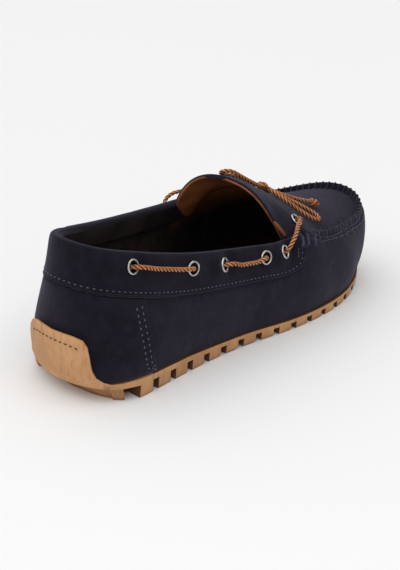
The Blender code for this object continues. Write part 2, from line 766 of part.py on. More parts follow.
def build_eyelet(name, seat, normal, collection, mat):
    """Rolled metal ring lying on the suede."""
    bpy.ops.mesh.primitive_torus_add(major_segments=14, minor_segments=6,
                                     major_radius=EYELET_RING * MM, minor_radius=EYELET_WIRE * MM)
    ring = bpy.context.object
    for owner in list(ring.users_collection):
        owner.objects.unlink(ring)
    collection.objects.link(ring)
    ring.name = ring.data.name = name
    ring.data.transform(Matrix.Diagonal((1.0, 1.0, 0.65, 1.0)))
    ring.data.shade_smooth()
    ring.data.materials.append(mat)
    centre = seat + normal * (GAP + EYELET_WIRE * 0.65)
    ring.matrix_world = (Matrix.Translation(Vector(centre * MM))
                         @ Vector(normal).to_track_quat("Z", "Y").to_matrix().to_4x4())
    return ring


def lace_bar(name, start, end, collection, mat):
    """Lace lying outside the collar between two eyelets."""
    (a, normal_a), (b, normal_b) = start, end
    points = []
    for share in (0.0, 0.06, 0.14, 0.3, 0.5, 0.7, 0.86, 0.94, 1.0):
        lift = 2.4 if share in (0.0, 1.0) else 3.5 if share in (0.06, 0.94, 0.14, 0.86) else 2.6
        normal = normal_a * (1 - share) + normal_b * share
        points.append(a + (b - a) * share + normal / np.linalg.norm(normal) * lift)
    return cord(name, points, collection, mat)


def throat_bar(name, start, end, side, collection, mat):
    """Lace from the last collar eyelet up over the rim to the saddle eyelet."""
    (a, normal_a), (b, normal_b) = start, end
    outwards = np.array([THROAT_BOW[0], side * THROAT_BOW[1], THROAT_BOW[2]])
    route = [a + normal_a * 2.4]
    route += [a + (b - a) * share + outwards * bow for share, bow in ((0.25, 0.8), (0.5, 1.0), (0.76, 0.8))]
    route += [b + normal_b * 3.6, b + normal_b * 2.4]
    return cord(name, curve_through(route, 13), collection, mat)


def on_crown(x, y, lift):
    """Point of the lace lying over tongue or apron."""
    return (x, y, crown_z(x, y) - APRON_SINK + lift)


# Routes of the bow: x, y and height above the crown surface
KNOT = (179.5, -5.0, 3.1)
LOOP_BACK = ((175.2, -6.0, 1.8), (170.2, -5.6, 1.6), (164.6, -4.2, 1.6), (159.6, -2.4, 1.8),
             (155.4, -0.6, 2.6), (152.2, 1.2, 3.1), (150.0, 3.8, 2.6), (151.2, 6.6, 1.9),
             (155.0, 6.9, 1.6), (159.8, 4.8, 1.6), (165.6, 2.0, 1.6), (170.8, -0.8, 1.6),
             (175.4, -3.2, 2.0))
LOOP_FRONT = ((180.0, -9.0, 2.4), (181.4, -14.0, 2.1), (184.2, -20.8, 1.9), (188.6, -27.4, 1.9),
              (193.8, -32.4, 2.2), (198.8, -34.6, 2.7), (202.0, -31.8, 2.6), (200.4, -26.0, 2.2),
              (196.0, -19.4, 1.9), (190.6, -13.4, 2.0), (185.8, -9.6, 2.4), (182.8, -7.6, 2.8))
END_LATERAL = ((183.4, -4.4, 3.4), (188.0, -4.8, 2.6), (194.0, -7.4, 2.1), (200.4, -11.0, 2.1),
               (207.0, -15.0, 2.4), (212.4, -18.0, 2.9), (216.2, -20.0, 2.7), (219.0, -21.6, 2.2))
END_MEDIAL = ((181.8, -1.4, 3.2), (184.0, 3.6, 2.4), (186.4, 10.6, 2.1), (189.0, 17.8, 2.1),
              (192.4, 24.0, 2.4), (195.8, 28.2, 2.9), (198.4, 30.4, 2.7), (200.4, 32.0, 2.2))


def build_bow(collection, mat):
    """Small bow on the saddle: knot, two loops and two knotted ends."""
    bpy.ops.mesh.primitive_uv_sphere_add(segments=12, ring_count=8, radius=1.0)
    knot = bpy.context.object
    for owner in list(knot.users_collection):
        owner.objects.unlink(knot)
    collection.objects.link(knot)
    knot.name = knot.data.name = "lace_knot"
    knot.data.transform(Matrix.Diagonal((3.4 * MM, 3.2 * MM, 2.7 * MM, 1.0)))
    knot.data.shade_smooth()
    knot.data.materials.append(mat)
    knot.location = Vector(on_crown(*KNOT)) * MM
    for name, route, count in (("lace_loop_back", LOOP_BACK, 24), ("lace_loop_front", LOOP_FRONT, 30)):
        cord(name, curve_through([on_crown(*row) for row in route], count), collection, mat)
    for name, route in (("lace_end_lateral", END_LATERAL), ("lace_end_medial", END_MEDIAL)):
        points = curve_through([on_crown(*row) for row in route], 16)
        widths = [1.0] * 11 + [1.6, 1.9, 1.5, 0.9, 0.8]
        cord(name, points, collection, mat, widths=widths)


def build_lacing(collection, metal, leather):
    """Eyelets along both sides with the outside runs of the lace."""
    for side, medial in (("lateral", False), ("medial", True)):
        seats = [collar_eyelet(*row, medial) for row in COLLAR_EYELETS] + [saddle_eyelet(medial)]
        for i, (seat, normal) in enumerate(seats, start=1):
            build_eyelet(f"eyelet_{side}_{i}", seat, normal, collection, metal)
        for i, (start, end) in enumerate(((0, 1), (2, 3)), start=1):
            lace_bar(f"lace_{side}_{i}", seats[start], seats[end], collection, leather)
        throat_bar(f"lace_{side}_3", seats[4], seats[5], 1 if medial else -1, collection, leather)


def centre_on_origin(collection, cutters):
    """Hang every piece on one empty, so that the origin lies under the middle of the shoe."""
    bpy.context.view_layer.update()
    graph = bpy.context.evaluated_depsgraph_get()
    corners = []
    for obj in collection.objects:
        if obj.name.startswith(("lace_loop", "lace_end", "lace_knot")):
            continue
        mesh = obj.evaluated_get(graph).to_mesh()
        corners += [obj.matrix_world @ vert.co for vert in mesh.vertices]
    low = [min(corner[axis] for corner in corners) for axis in range(3)]
    high = [max(corner[axis] for corner in corners) for axis in range(3)]
    middle = bpy.data.objects.new("shoe_middle", None)
    collection.objects.link(middle)
    middle.location = (-(low[0] + high[0]) / 2, -(low[1] + high[1]) / 2, -low[2])
    for obj in [*collection.objects, *cutters.objects]:
        if obj is not middle and obj.parent is None:
            obj.parent = middle


def main():
    clear_scene()
    shoe = new_collection("loafer")
    cutters = new_collection("cutters")
    navy = (0.018, 0.022, 0.045)
    tan = (0.36, 0.14, 0.05)
    build_upper(shoe, material("upper_suede", navy, 0.92))
    build_tongue(shoe, material("tongue_suede", navy, 0.92))
    build_collar_band(shoe, material("collar_suede", navy, 0.94))
    build_counter(shoe, material("counter_suede", navy, 0.92))
    build_insole(shoe, material("insole_leather", (0.30, 0.12, 0.045), 0.7))
    build_outsole(shoe, material("gum_rubber", (0.62, 0.38, 0.20), 0.62), cutters)
    build_lacing(shoe, material("nickel", (0.72, 0.71, 0.69), 0.25, 1.0), material("lace_runs", tan, 0.55))
    build_bow(shoe, material("lace_bow", tan, 0.55))
    centre_on_origin(shoe, cutters)


main()
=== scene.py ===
import math

import bmesh
import bpy
import numpy as np
from mathutils import Matrix, Vector
from mathutils.bvhtree import BVHTree
from mathutils.kdtree import KDTree


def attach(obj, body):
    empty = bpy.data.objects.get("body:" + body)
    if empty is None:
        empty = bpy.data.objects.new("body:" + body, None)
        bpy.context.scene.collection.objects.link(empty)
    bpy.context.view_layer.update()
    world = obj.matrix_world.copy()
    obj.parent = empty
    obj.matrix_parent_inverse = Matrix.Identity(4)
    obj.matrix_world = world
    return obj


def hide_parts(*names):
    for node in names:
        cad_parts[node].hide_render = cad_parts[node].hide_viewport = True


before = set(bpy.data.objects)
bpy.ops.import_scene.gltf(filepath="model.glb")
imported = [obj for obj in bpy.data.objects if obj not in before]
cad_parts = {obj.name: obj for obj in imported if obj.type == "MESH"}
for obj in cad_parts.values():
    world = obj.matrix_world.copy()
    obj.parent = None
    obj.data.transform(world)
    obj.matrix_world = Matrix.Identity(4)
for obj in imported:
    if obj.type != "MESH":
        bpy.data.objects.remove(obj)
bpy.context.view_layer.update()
mm = 0.001


def objectFor(name, data):
    made = bpy.data.objects.new(name, data)
    bpy.context.scene.collection.objects.link(made)
    return made


def metres(route):
    return [[c * mm for c in point] for point in route]


# Camera: it stands behind the heel on the lateral side and is rolled a little
cameraLook = {
    "place": (-0.5661, -0.3762, 0.2999),
    "azimuth": -55.76,
    "elevation": 22.51,
    "roll": 4.49,
    "lens": 80.0,
}


def placeCamera(look):
    a = math.radians(look["azimuth"])
    e = math.radians(look["elevation"])
    r = math.radians(look["roll"])
    back = Vector((math.sin(a) * math.cos(e), -math.cos(a) * math.cos(e), math.sin(e)))
    level = Vector((math.cos(a), math.sin(a), 0.0))
    rise = back.cross(level)
    right = level * math.cos(r) + rise * math.sin(r)
    up = rise * math.cos(r) - level * math.sin(r)
    data = bpy.data.cameras.new("camera")
    data.lens = look["lens"]
    data.sensor_width = 36.0
    data.clip_start = 0.01
    camera = objectFor("camera", data)
    turn = Matrix((right, up, back)).transposed().to_4x4()
    camera.matrix_world = Matrix.Translation(Vector(look["place"])) @ turn
    bpy.context.scene.camera = camera


placeCamera(cameraLook)
print("camera placed")


# Light: a pale floor in a light tent, brightest overhead, with a soft fill at the heel
studioLook = {
    "floor": (0.86, 0.86, 0.86),
    "backdrop": 0.885,
    "around": 0.47,
    "overhead": 2.16,
    "overheadFrom": (-0.2, 0.15, 1.0),
    "softness": 110.0,
    "fill": 1.25,
    "fillFrom": (-0.8, -0.45, 0.4),
    "fillAt": (0.0, 0.0, 0.03),
    "fillSize": 0.8,
    "floorSize": 6.0,
}


def addLight(name, kind, place, target, power, size):
    data = bpy.data.lights.new(name, kind)
    data.energy = power
    if kind == "SUN":
        data.angle = math.radians(size)
    else:
        data.shape = "DISK"
        data.size = size
    lamp = objectFor(name, data)
    lamp.location = place
    lamp.rotation_mode = "QUATERNION"
    lamp.rotation_quaternion = (Vector(target) - Vector(place)).to_track_quat("-Z", "Y")


def setStudio(look):
    scene = bpy.context.scene
    scene.view_settings.view_transform = "Standard"
    world = bpy.data.worlds.new("studio")
    world.use_nodes = True
    tree = world.node_tree
    seen = tree.nodes["Background"]
    seen.inputs["Color"].default_value = (1.0, 1.0, 1.0, 1.0)
    seen.inputs["Strength"].default_value = look["backdrop"]
    around = tree.nodes.new("ShaderNodeBackground")
    around.inputs["Strength"].default_value = look["around"]
    path = tree.nodes.new("ShaderNodeLightPath")
    either = tree.nodes.new("ShaderNodeMixShader")
    tree.links.new(path.outputs["Is Camera Ray"], either.inputs[0])
    tree.links.new(around.outputs[0], either.inputs[1])
    tree.links.new(seen.outputs[0], either.inputs[2])
    tree.links.new(either.outputs[0], tree.nodes["World Output"].inputs["Surface"])
    scene.world = world
    addLight("overhead", "SUN", look["overheadFrom"], (0.0, 0.0, 0.0), look["overhead"], look["softness"])
    addLight("fill", "AREA", look["fillFrom"], look["fillAt"], look["fill"], look["fillSize"])
    bm = bmesh.new()
    bmesh.ops.create_grid(bm, x_segments=2, y_segments=2, size=look["floorSize"])
    mesh = bpy.data.meshes.new("floor")
    bm.to_mesh(mesh)
    bm.free()
    paint = bpy.data.materials.new("floorPaint")
    paint.use_nodes = True
    shader = paint.node_tree.nodes["Principled BSDF"]
    shader.inputs["Base Color"].default_value = (*look["floor"], 1.0)
    shader.inputs["Roughness"].default_value = 0.9
    shader.inputs["Specular IOR Level"].default_value = 0.1
    mesh.materials.append(paint)
    objectFor("floor", mesh)


setStudio(studioLook)
print("studio lit")


def feed(tree, slot, value):
    # a link where the value is a wire, otherwise a constant
    if isinstance(value, Wire):
        tree.links.new(value.socket, slot)
    elif slot.type == "RGBA":
        slot.default_value = (*value, 1.0)
    else:
        slot.default_value = value


# Shader maths: a wire is one socket, and sums of wires add their Math nodes
class Wire:
    def __init__(self, tree, socket):
        self.tree = tree
        self.socket = socket

    def sum(self, operation, first, second):
        node = self.tree.nodes.new("ShaderNodeMath")
        node.operation = operation
        for slot, value in zip(node.inputs, (first, second)):
            feed(self.tree, slot, value)
        return Wire(self.tree, node.outputs[0])

    def __add__(self, other):
        return self.sum("ADD", self, other)

    def __radd__(self, other):
        return self.sum("ADD", other, self)

    def __sub__(self, other):
        return self.sum("SUBTRACT", self, other)

    def __rsub__(self, other):
        return self.sum("SUBTRACT", other, self)

    def __mul__(self, other):
        return self.sum("MULTIPLY", self, other)


class Finish:
    def __init__(self, name, **constants):
        self.material = bpy.data.materials.new(name)
        self.material.use_nodes = True
        self.tree = self.material.node_tree
        self.shader = self.tree.nodes["Principled BSDF"]
        for socket, value in constants.items():
            self.shader.inputs[socket.replace("_", " ")].default_value = value

    def node(self, kind, settings=None, sockets=None, out=0):
        made = self.tree.nodes.new(kind)
        for key, value in (settings or {}).items():
            setattr(made, key, value)
        for key, value in (sockets or {}).items():
            feed(self.tree, made.inputs[key], value)
        return Wire(self.tree, made.outputs[out])

    def place(self, scale=(1.0, 1.0, 1.0), turn=(0.0, 0.0, 0.0)):
        spot = self.node("ShaderNodeTexCoord", out="Object")
        return self.node("ShaderNodeMapping", None, {"Vector": spot, "Scale": scale, "Rotation": turn})

    def axis(self, spot, letter):
        return self.node("ShaderNodeSeparateXYZ", None, {"Vector": spot}, letter)

    def attribute(self, name):
        return self.node("ShaderNodeAttribute", {"attribute_name": name}, None, "Fac")

    def noise(self, place, scale, detail=3.0, rough=0.55, warp=0.0):
        values = {"Vector": place, "Scale": scale, "Detail": detail, "Roughness": rough, "Distortion": warp}
        return self.node("ShaderNodeTexNoise", None, values, "Fac")

    def window(self, value, low, high):
        return self.node("ShaderNodeMapRange", {"interpolation_type": "SMOOTHSTEP"},
                         {"Value": value, "From Min": low, "From Max": high})

    def blend(self, share, first, second):
        return self.node("ShaderNodeMix", {"data_type": "RGBA"}, {0: share, 6: first, 7: second}, 2)

    def bump(self, height, strength, distance, below=None):
        sockets = {"Height": height, "Strength": strength, "Distance": distance}
        if below is not None:
            sockets["Normal"] = below
        return self.node("ShaderNodeBump", None, sockets, "Normal")

    def wear(self, **wires):
        for socket, wire in wires.items():
            self.tree.links.new(wire.socket, self.shader.inputs[socket.replace("_", " ")])
        return self.material


suedeLook = {
    "deep": (0.0084, 0.0070, 0.0125),
    "open": (0.0156, 0.0130, 0.0232),
    "brushed": (0.0300, 0.0256, 0.0430),
    "sheen": 0.13,
    "napHeight": 0.00030,
}


def suede(name, look, lighter=1.0, turn=0.0):
    # brushed nap: fine fibres that lie one way, soft hand marks and a few paler rubbed places
    deep, opened, brushed = ([c * lighter for c in look[key]] for key in ("deep", "open", "brushed"))
    made = Finish(name, Roughness=0.95, Sheen_Weight=look["sheen"], Sheen_Roughness=0.45,
                  Sheen_Tint=(0.80, 0.74, 1.0, 1.0), Specular_IOR_Level=0.12)
    spot = made.place()
    lying = made.place((1.0, 1.25, 0.8), (0.0, turn, turn))
    cloud = made.noise(spot, 42.0, 5.0, 0.62, 0.3)
    hand = made.noise(lying, 150.0, 5.0, 0.65, 0.4)
    nap = made.noise(lying, 1500.0, 4.0, 0.65)
    fibre = made.noise(lying, 4200.0, 2.0, 0.7)
    mix = made.window(cloud * 0.55 + hand * 0.45, 0.36, 0.66)
    colour = made.blend(mix, deep, opened)
    rubbed = made.window(hand * 0.5 + nap * 0.5, 0.5, 0.72)
    colour = made.blend(rubbed * 0.45, colour, brushed)
    colour = made.blend(made.window(nap * 0.5 + fibre * 0.5, 0.35, 0.7) * 0.4, colour, deep)
    coarse = made.bump(hand, 0.35, 0.0009)
    fine = made.bump(nap * 0.7 + fibre * 0.3, 0.55, look["napHeight"], coarse)
    return made.wear(Base_Color=colour, Normal=fine)


leatherLook = {
    "tan": ((0.170, 0.050, 0.013), (0.340, 0.112, 0.030)),
    # the insole and lining are tan leather; these dark colours are painted shade inside the shoe
    "sock": ((0.020, 0.010, 0.006), (0.052, 0.024, 0.012)),
    "lining": ((0.010, 0.007, 0.008), (0.026, 0.017, 0.016)),
}


def leather(name, colours, grain=1.0, above=None):
    made = Finish(name, Roughness=0.55, Specular_IOR_Level=0.4)
    spot = made.place()
    pebble = made.node("ShaderNodeTexVoronoi", {"feature": "F1"}, {"Vector": spot, "Scale": 1100.0},
                       "Distance")
    cloud = made.noise(spot, 60.0, 4.0, 0.6, 0.5)
    fine = made.noise(spot, 900.0, 3.0)
    colour = made.blend(made.window(cloud, 0.32, 0.7), colours[0], colours[1])
    colour = made.blend(made.window(fine, 0.5, 0.75) * 0.35, colour, [c * 0.6 for c in colours[0]])
    if above is not None:
        # the lining's own tan shows high up in the vamp; elsewhere its dark colour is painted shade
        high = made.window(made.axis(spot, "Z"), 0.036, 0.054)
        share = high * made.window(made.axis(spot, "X"), 0.002, 0.014)
        colour = made.blend(share, colour, made.blend(cloud, above[0], above[1]))
    return made.wear(Base_Color=colour, Roughness=0.45 + cloud * 0.25,
                     Normal=made.bump(pebble, 0.35 * grain, 0.0004))


rubberLook = {
    "pale": (0.560, 0.305, 0.140),
    "warm": (0.450, 0.225, 0.095),
    "dirtAndShade": (0.300, 0.128, 0.048),
    # painted shade for the notch walls and the heel block
    "hollow": (0.085, 0.032, 0.012),
}


def gumRubber(name, look):
    # gum rubber: fine upright ribs with painted shade in their grooves, faint mottling, specks of grit,
    # darker towards the bottom, and painted shade in the notches
    made = Finish(name, Roughness=0.6, Specular_IOR_Level=0.35, Subsurface_Weight=0.12,
                  Subsurface_Scale=0.004, Subsurface_Radius=(1.0, 0.45, 0.2))
    spot = made.place()
    upright = made.place((1.0, 1.0, 0.06))
    rib = made.noise(upright, 700.0, 2.0, 0.5)
    cloud = made.noise(spot, 45.0, 4.0, 0.6)
    grit = made.noise(spot, 1400.0, 3.0, 0.6)
    colour = made.blend(made.window(cloud, 0.3, 0.7), look["warm"], look["pale"])
    # painted shade in the grooves between the ribs
    colour = made.blend(made.window(rib, 0.46, 0.3) * 0.5, colour, look["dirtAndShade"])
    # darker towards the bottom
    low = made.window(made.axis(spot, "Z") + (cloud - 0.5) * 0.004, 0.0032, 0.0004)
    colour = made.blend(low * 0.55, colour, look["dirtAndShade"])
    colour = made.blend(made.window(grit, 0.62, 0.8) * 0.18, colour, look["dirtAndShade"])
    # painted shade darkens the notch walls and the heel block
    colour = made.blend(made.attribute("hollow"), colour, look["hollow"])
    ribs = made.bump(rib, 0.5, 0.0007)
    return made.wear(Base_Color=colour, Roughness=0.5 + cloud * 0.2,
                     Normal=made.bump(grit, 0.25, 0.0002, ribs))


laceLook = {
    "crest": (0.640, 0.232, 0.068),
    "grooveShade": (0.045, 0.012, 0.005),
    "width": 2.5,
    "strands": 3,
    "pitch": 7.8,
    "ease": 10,
}


def waxedCord(name, look):
    made = Finish(name, Specular_IOR_Level=0.5, Coat_Roughness=0.35)
    spot = made.place()
    fray = made.noise(spot, 1800.0, 3.0, 0.6)
    cloud = made.noise(spot, 120.0, 3.0)
    crest = made.window(made.attribute("strand") + (fray - 0.5) * 0.2, 0.35, 0.95)
    warm = made.blend(made.window(cloud, 0.35, 0.65), [c * 0.72 for c in look["crest"]], look["crest"])
    # painted shade: the cord is darkened in the grooves between its strands
    colour = made.blend(crest, look["grooveShade"], warm)
    return made.wear(Base_Color=colour, Roughness=0.62 - crest * 0.2, Coat_Weight=crest * 0.15,
                     Normal=made.bump(fray, 0.4, 0.0003))


def polishedNickel(name):
    made = Finish(name, Metallic=1.0, Specular_IOR_Level=0.5)
    spot = made.place()
    brush = made.noise(made.place((1.0, 1.0, 5.0)), 900.0, 3.0)
    smear = made.noise(spot, 260.0, 3.0)
    colour = made.blend(made.window(smear, 0.4, 0.7), (0.52, 0.51, 0.50), (0.34, 0.33, 0.33))
    return made.wear(Base_Color=colour, Roughness=0.16 + smear * 0.2,
                     Normal=made.bump(brush, 0.15, 0.0001))


def thread(name, dark, light):
    made = Finish(name, Roughness=0.7, Specular_IOR_Level=0.3, Sheen_Weight=0.3)
    spot = made.place()
    ply = made.noise(spot, 2500.0, 2.0)
    colour = made.blend(made.window(ply, 0.35, 0.65), dark, light)
    return made.wear(Base_Color=colour, Normal=made.bump(ply, 0.5, 0.0002))


upperFinish = suede("upperSuedeFinish", suedeLook)
# the collar and the heel counter take darker copies of the suede: painted shade
collarShadedFinish = suede("collarShadedSuedeFinish", suedeLook, 0.66, 0.6)
counterShadedFinish = suede("counterShadedSuedeFinish", suedeLook, 0.80, 1.1)
tongueFinish = suede("tongueSuedeFinish", suedeLook, 1.2, 0.3)
# a paler copy for the beads along the seam edges: painted highlight on the raised edges
edgeHighlightFinish = suede("paintedEdgeHighlightFinish", suedeLook, 1.35, 0.9)
# a much paler copy for the ridge's lip: painted highlight
lipHighlightFinish = suede("paintedLipHighlightFinish", suedeLook, 4.5, 0.9)
# the lining and insole finishes carry painted shade in their dark colours
liningFinish = leather("liningLeatherFinish", leatherLook["lining"])
vampLiningFinish = leather("vampLiningFinish", leatherLook["lining"], 1.0, leatherLook["tan"])
tanFinish = leather("tanLeatherFinish", leatherLook["tan"])
insoleFinish = leather("insoleLeatherFinish", leatherLook["sock"], 1.4)
rubberFinish = gumRubber("gumRubberFinish", rubberLook)
laceFinish = waxedCord("waxedCordFinish", laceLook)
nickelFinish = polishedNickel("nickelFinish")
threadFinish = thread("slateThreadFinish", (0.034, 0.035, 0.060), (0.108, 0.110, 0.158))
whipFinish = thread("darkThreadFinish", (0.003, 0.004, 0.010), (0.012, 0.014, 0.034))
navyFinish = thread("navyThreadFinish", (0.007, 0.010, 0.032), (0.026, 0.037, 0.105))
brownThread = thread("brownThreadFinish", (0.035, 0.014, 0.007), (0.110, 0.048, 0.022))
print("materials mixed")


# Making pieces
def addObject(name, mesh, finishes):
    for finish in finishes:
        mesh.materials.append(finish)
    return objectFor(name, mesh)


def fromForm(name, bm, finishes):
    mesh = bpy.data.meshes.new(name)
    bm.to_mesh(mesh)
    bm.free()
    mesh.shade_smooth()
    return addObject(name, mesh, finishes)


def formOf(node, paired=True):
    # a merged copy of a CAD node, with its triangles paired up again
    bm = bmesh.new()
    bm.from_mesh(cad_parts[node].data)
    bmesh.ops.remove_doubles(bm, verts=bm.verts, dist=0.02 * mm)
    if paired:
        bmesh.ops.join_triangles(bm, faces=bm.faces, cmp_seam=False, cmp_sharp=False, cmp_uvs=False,
                                 angle_face_threshold=math.radians(40),
                                 angle_shape_threshold=math.radians(60))
    bm.normal_update()
    return bm


def creaseEdges(bm, angle, strength):
    layer = bm.edges.layers.float.get("crease_edge") or bm.edges.layers.float.new("crease_edge")
    for edge in bm.edges:
        if edge.calc_face_angle(0.0) > math.radians(angle):
            edge[layer] = strength


def spotsOf(mesh):
    return np.array([v.co for v in mesh.vertices])


def moveTo(mesh, spots):
    mesh.vertices.foreach_set("co", spots.astype(np.float32).ravel())
    mesh.update()


def settled(piece):
    # the piece's modifiers become its mesh
    graph = bpy.context.evaluated_depsgraph_get()
    graph.update()
    mesh = bpy.data.meshes.new_from_object(piece.evaluated_get(graph))
    mesh.name = piece.name
    piece.modifiers.clear()
    piece.data = mesh
    return piece


smoothLevels = 2


def smoothed(piece):
    divide = piece.modifiers.new("smooth", "SUBSURF")
    divide.levels = divide.render_levels = smoothLevels
    return settled(piece)


def fit(piece, slot, *nodes):
    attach(piece, "root")
    if nodes:
        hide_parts(*nodes)
    return piece


def skinOf(*pieces):
    points, faces = [], []
    for piece in pieces:
        start = len(points)
        points += [v.co.copy() for v in piece.data.vertices]
        faces += [[start + i for i in p.vertices] for p in piece.data.polygons]
    return BVHTree.FromPolygons(points, faces)


def smoothRoute(route, step):
    # evenly spaced points on a smooth line through a route, in metres
    route = np.array(route, float)
    keys = np.concatenate([[0.0], np.cumsum(np.linalg.norm(np.diff(route, axis=0), axis=1))])
    slopes = np.gradient(route, keys, axis=0)
    count = max(2, int(round(keys[-1] / step)) + 1)
    points = []
    for s in np.linspace(0.0, keys[-1], count):
        i = min(int(np.searchsorted(keys, s, side="right")) - 1, len(keys) - 2)
        span = keys[i + 1] - keys[i]
        t = (s - keys[i]) / span
        points.append((1 + 2 * t) * (1 - t) ** 2 * route[i] + t * (1 - t) ** 2 * span * slopes[i]
                      + t * t * (3 - 2 * t) * route[i + 1] - t * t * (1 - t) * span * slopes[i + 1])
    return [Vector(point) for point in points]


def eased(points, passes):
    # sharp turns opened out, with both ends held
    for _ in range(passes):
        between = [(a + 2 * b + c) / 4 for a, b, c in zip(points, points[1:], points[2:])]
        points = [points[0], *between, points[-1]]
    return points


def headings(points):
    # which way a line runs at each of its points
    return [(b - a).normalized() for a, b in zip([points[0], *points], [*points[1:], points[-1]])]


def lineCurve(name, points, dimensions="3D"):
    curve = bpy.data.curves.new(name, "CURVE")
    curve.dimensions = dimensions
    spline = curve.splines.new("POLY")
    spline.points.add(len(points) - 1)
    for spot, point in zip(spline.points, points):
        spot.co = (*point, 1.0)
    return curve, spline


def tube(name, points, radius, finish, sides=8, swell=None):
    curve, spline = lineCurve(name, points)
    curve.bevel_depth = radius
    curve.bevel_resolution = max(0, sides // 2 - 2)
    curve.use_fill_caps = True
    if swell:
        spline.points.foreach_set("radius", swell)
    return asMesh(objectFor(name, curve), finish)


def asMesh(curveObject, finish):
    graph = bpy.context.evaluated_depsgraph_get()
    graph.update()
    mesh = bpy.data.meshes.new_from_object(curveObject.evaluated_get(graph))
    name = curveObject.name
    curve = curveObject.data
    bpy.data.objects.remove(curveObject)
    bpy.data.curves.remove(curve)
    mesh.materials.clear()
    mesh.shade_smooth()
    return addObject(name, mesh, [finish])


def strandProfile(width, strands):
    # cross section of a laid cord: one lobe for each strand
    turns = [math.pi * i / (3 * strands) for i in range(6 * strands)]
    reach = [width / 2 * (0.64 + 0.38 * abs(math.cos(a * strands / 2))) for a in turns]
    outline = [(r * math.cos(a), r * math.sin(a), 0.0) for r, a in zip(reach, turns)]
    curve, spline = lineCurve("strands", outline, "2D")
    spline.use_cyclic_u = True
    return objectFor("strands", curve)


def laidCord(name, route, step=0.75, width=laceLook["width"], ease=laceLook["ease"]):
    # twisted cord along a route: the lobed section turns once in each pitch
    points = eased(smoothRoute(route, step * mm), ease)
    profile = strandProfile(width * mm, laceLook["strands"])
    curve, spline = lineCurve(name, points)
    curve.bevel_mode = "OBJECT"
    curve.bevel_object = profile
    curve.use_fill_caps = True
    run = 0.0
    for i in range(1, len(points)):
        run += (points[i] - points[i - 1]).length
        spline.points[i].tilt = 2 * math.pi * run / (laceLook["pitch"] * mm)
    made = asMesh(objectFor(name, curve), laceFinish)
    outline = profile.data
    bpy.data.objects.remove(profile)
    bpy.data.curves.remove(outline)
    markStrands(made, points, width * mm / 2)
    return made, points


def markStrands(piece, points, radius):
    # 1 on the crest of a strand, 0 in the groove between two
    path = np.array(points)
    spots = spotsOf(piece.data)
    gaps = np.sqrt(((spots[:, None, :] - path[None, :, :]) ** 2).sum(2)).min(1) / radius
    layer = piece.data.attributes.new("strand", "FLOAT", "POINT")
    layer.data.foreach_set("value", np.clip((gaps - 0.68) / 0.32, 0.0, 1.0).astype(np.float32))


# Lace: the bow is first
# size is across, across and along the axis that the cord is wound round
knotLook = {
    "place": (37.5, -4.0, 71.5),
    "size": (2.3, 2.1, 2.8),
    "turns": 2.2,
    "width": 2.4,
    "axis": (0.6, 0.5, 0.35),
}
stopperLook = {"size": (1.6, 1.6, 3.8), "turns": 2.4, "width": 2.0}
bowRoutes = {
    "laceLoopBack": ((33.2, -5.0, 73.2), (28.2, -4.6, 75.5), (22.6, -3.2, 78.6), (17.6, -1.4, 81.6),
                     (13.4, 0.4, 84.3), (10.2, 2.2, 85.7), (8.0, 4.8, 85.3), (9.2, 7.6, 83.4),
                     (13.0, 7.9, 81.6), (17.8, 5.8, 80.4), (23.6, 3.0, 78.0), (28.8, 0.2, 75.5),
                     (33.4, -2.2, 73.5)),
    "laceLoopFront": ((38.0, -8.0, 70.9), (39.4, -13.0, 68.8), (42.2, -19.8, 65.0), (46.6, -26.4, 60.1),
                      (51.8, -31.4, 56.0), (56.8, -33.6, 54.0), (60.0, -30.8, 54.8), (58.4, -25.0, 57.6),
                      (54.0, -18.4, 61.2), (48.6, -12.4, 64.9), (43.8, -8.6, 68.1), (40.8, -6.6, 70.2)),
    "laceEndLateral": ((41.4, -3.4, 70.9), (46.0, -3.8, 68.0), (52.0, -6.4, 64.9), (58.4, -10.0, 62.2),
                       (65.0, -14.0, 59.8), (70.4, -17.0, 58.2), (74.2, -19.0, 56.7), (77.0, -20.6, 55.2)),
    "laceEndMedial": ((39.8, -0.4, 71.6), (42.0, 4.6, 69.5), (44.4, 11.6, 67.0), (47.0, 18.8, 63.6),
                      (50.4, 25.0, 60.1), (53.8, 29.2, 57.4), (56.4, 31.4, 55.3), (58.4, 33.0, 53.3)),
}


def wrapKnot(name, centre, axis, look):
    # a small knot: cord wound round itself about an axis
    wide, deep, tall = look["size"]
    count = int(look["turns"] * 16)
    points = []
    for i in range(count + 1):
        a = 2 * math.pi * look["turns"] * i / count
        points.append(Vector((wide * math.cos(a), deep * math.sin(a), (i / count - 0.5) * tall)) * mm)
    turn = Vector(axis).to_track_quat("Z", "Y").to_matrix()
    route = [centre + turn @ p for p in points]
    return laidCord(name, route, 0.45, look["width"], 0)[0]


def tieBow():
    pieces = {}
    for name, route in bowRoutes.items():
        route = metres(route)
        pieces[name] = (*laidCord(name, route), route)
    knot = wrapKnot("laceKnot", Vector(knotLook["place"]) * mm, knotLook["axis"], knotLook)
    fit(knot, "lace_leather", "lace_knot")
    for name, (cordPiece, points, route) in pieces.items():
        node = "".join("_" + letter.lower() if letter.isupper() else letter for letter in name)
        fit(cordPiece, "lace_leather", node)
        length = sum((b - a).length for a, b in zip(points, points[1:]))
        extra = [knot] if name == "laceLoopBack" else []
        if name.startswith("laceEnd"):
            a, b = Vector(route[-2]), Vector(route[-3])
            stopper = wrapKnot(name.replace("lace", "laceStopper"), a * 0.8 + b * 0.2, a - b, stopperLook)
            fit(stopper, "lace_leather")
            extra = [stopper]


tieBow()
print("bow tied")


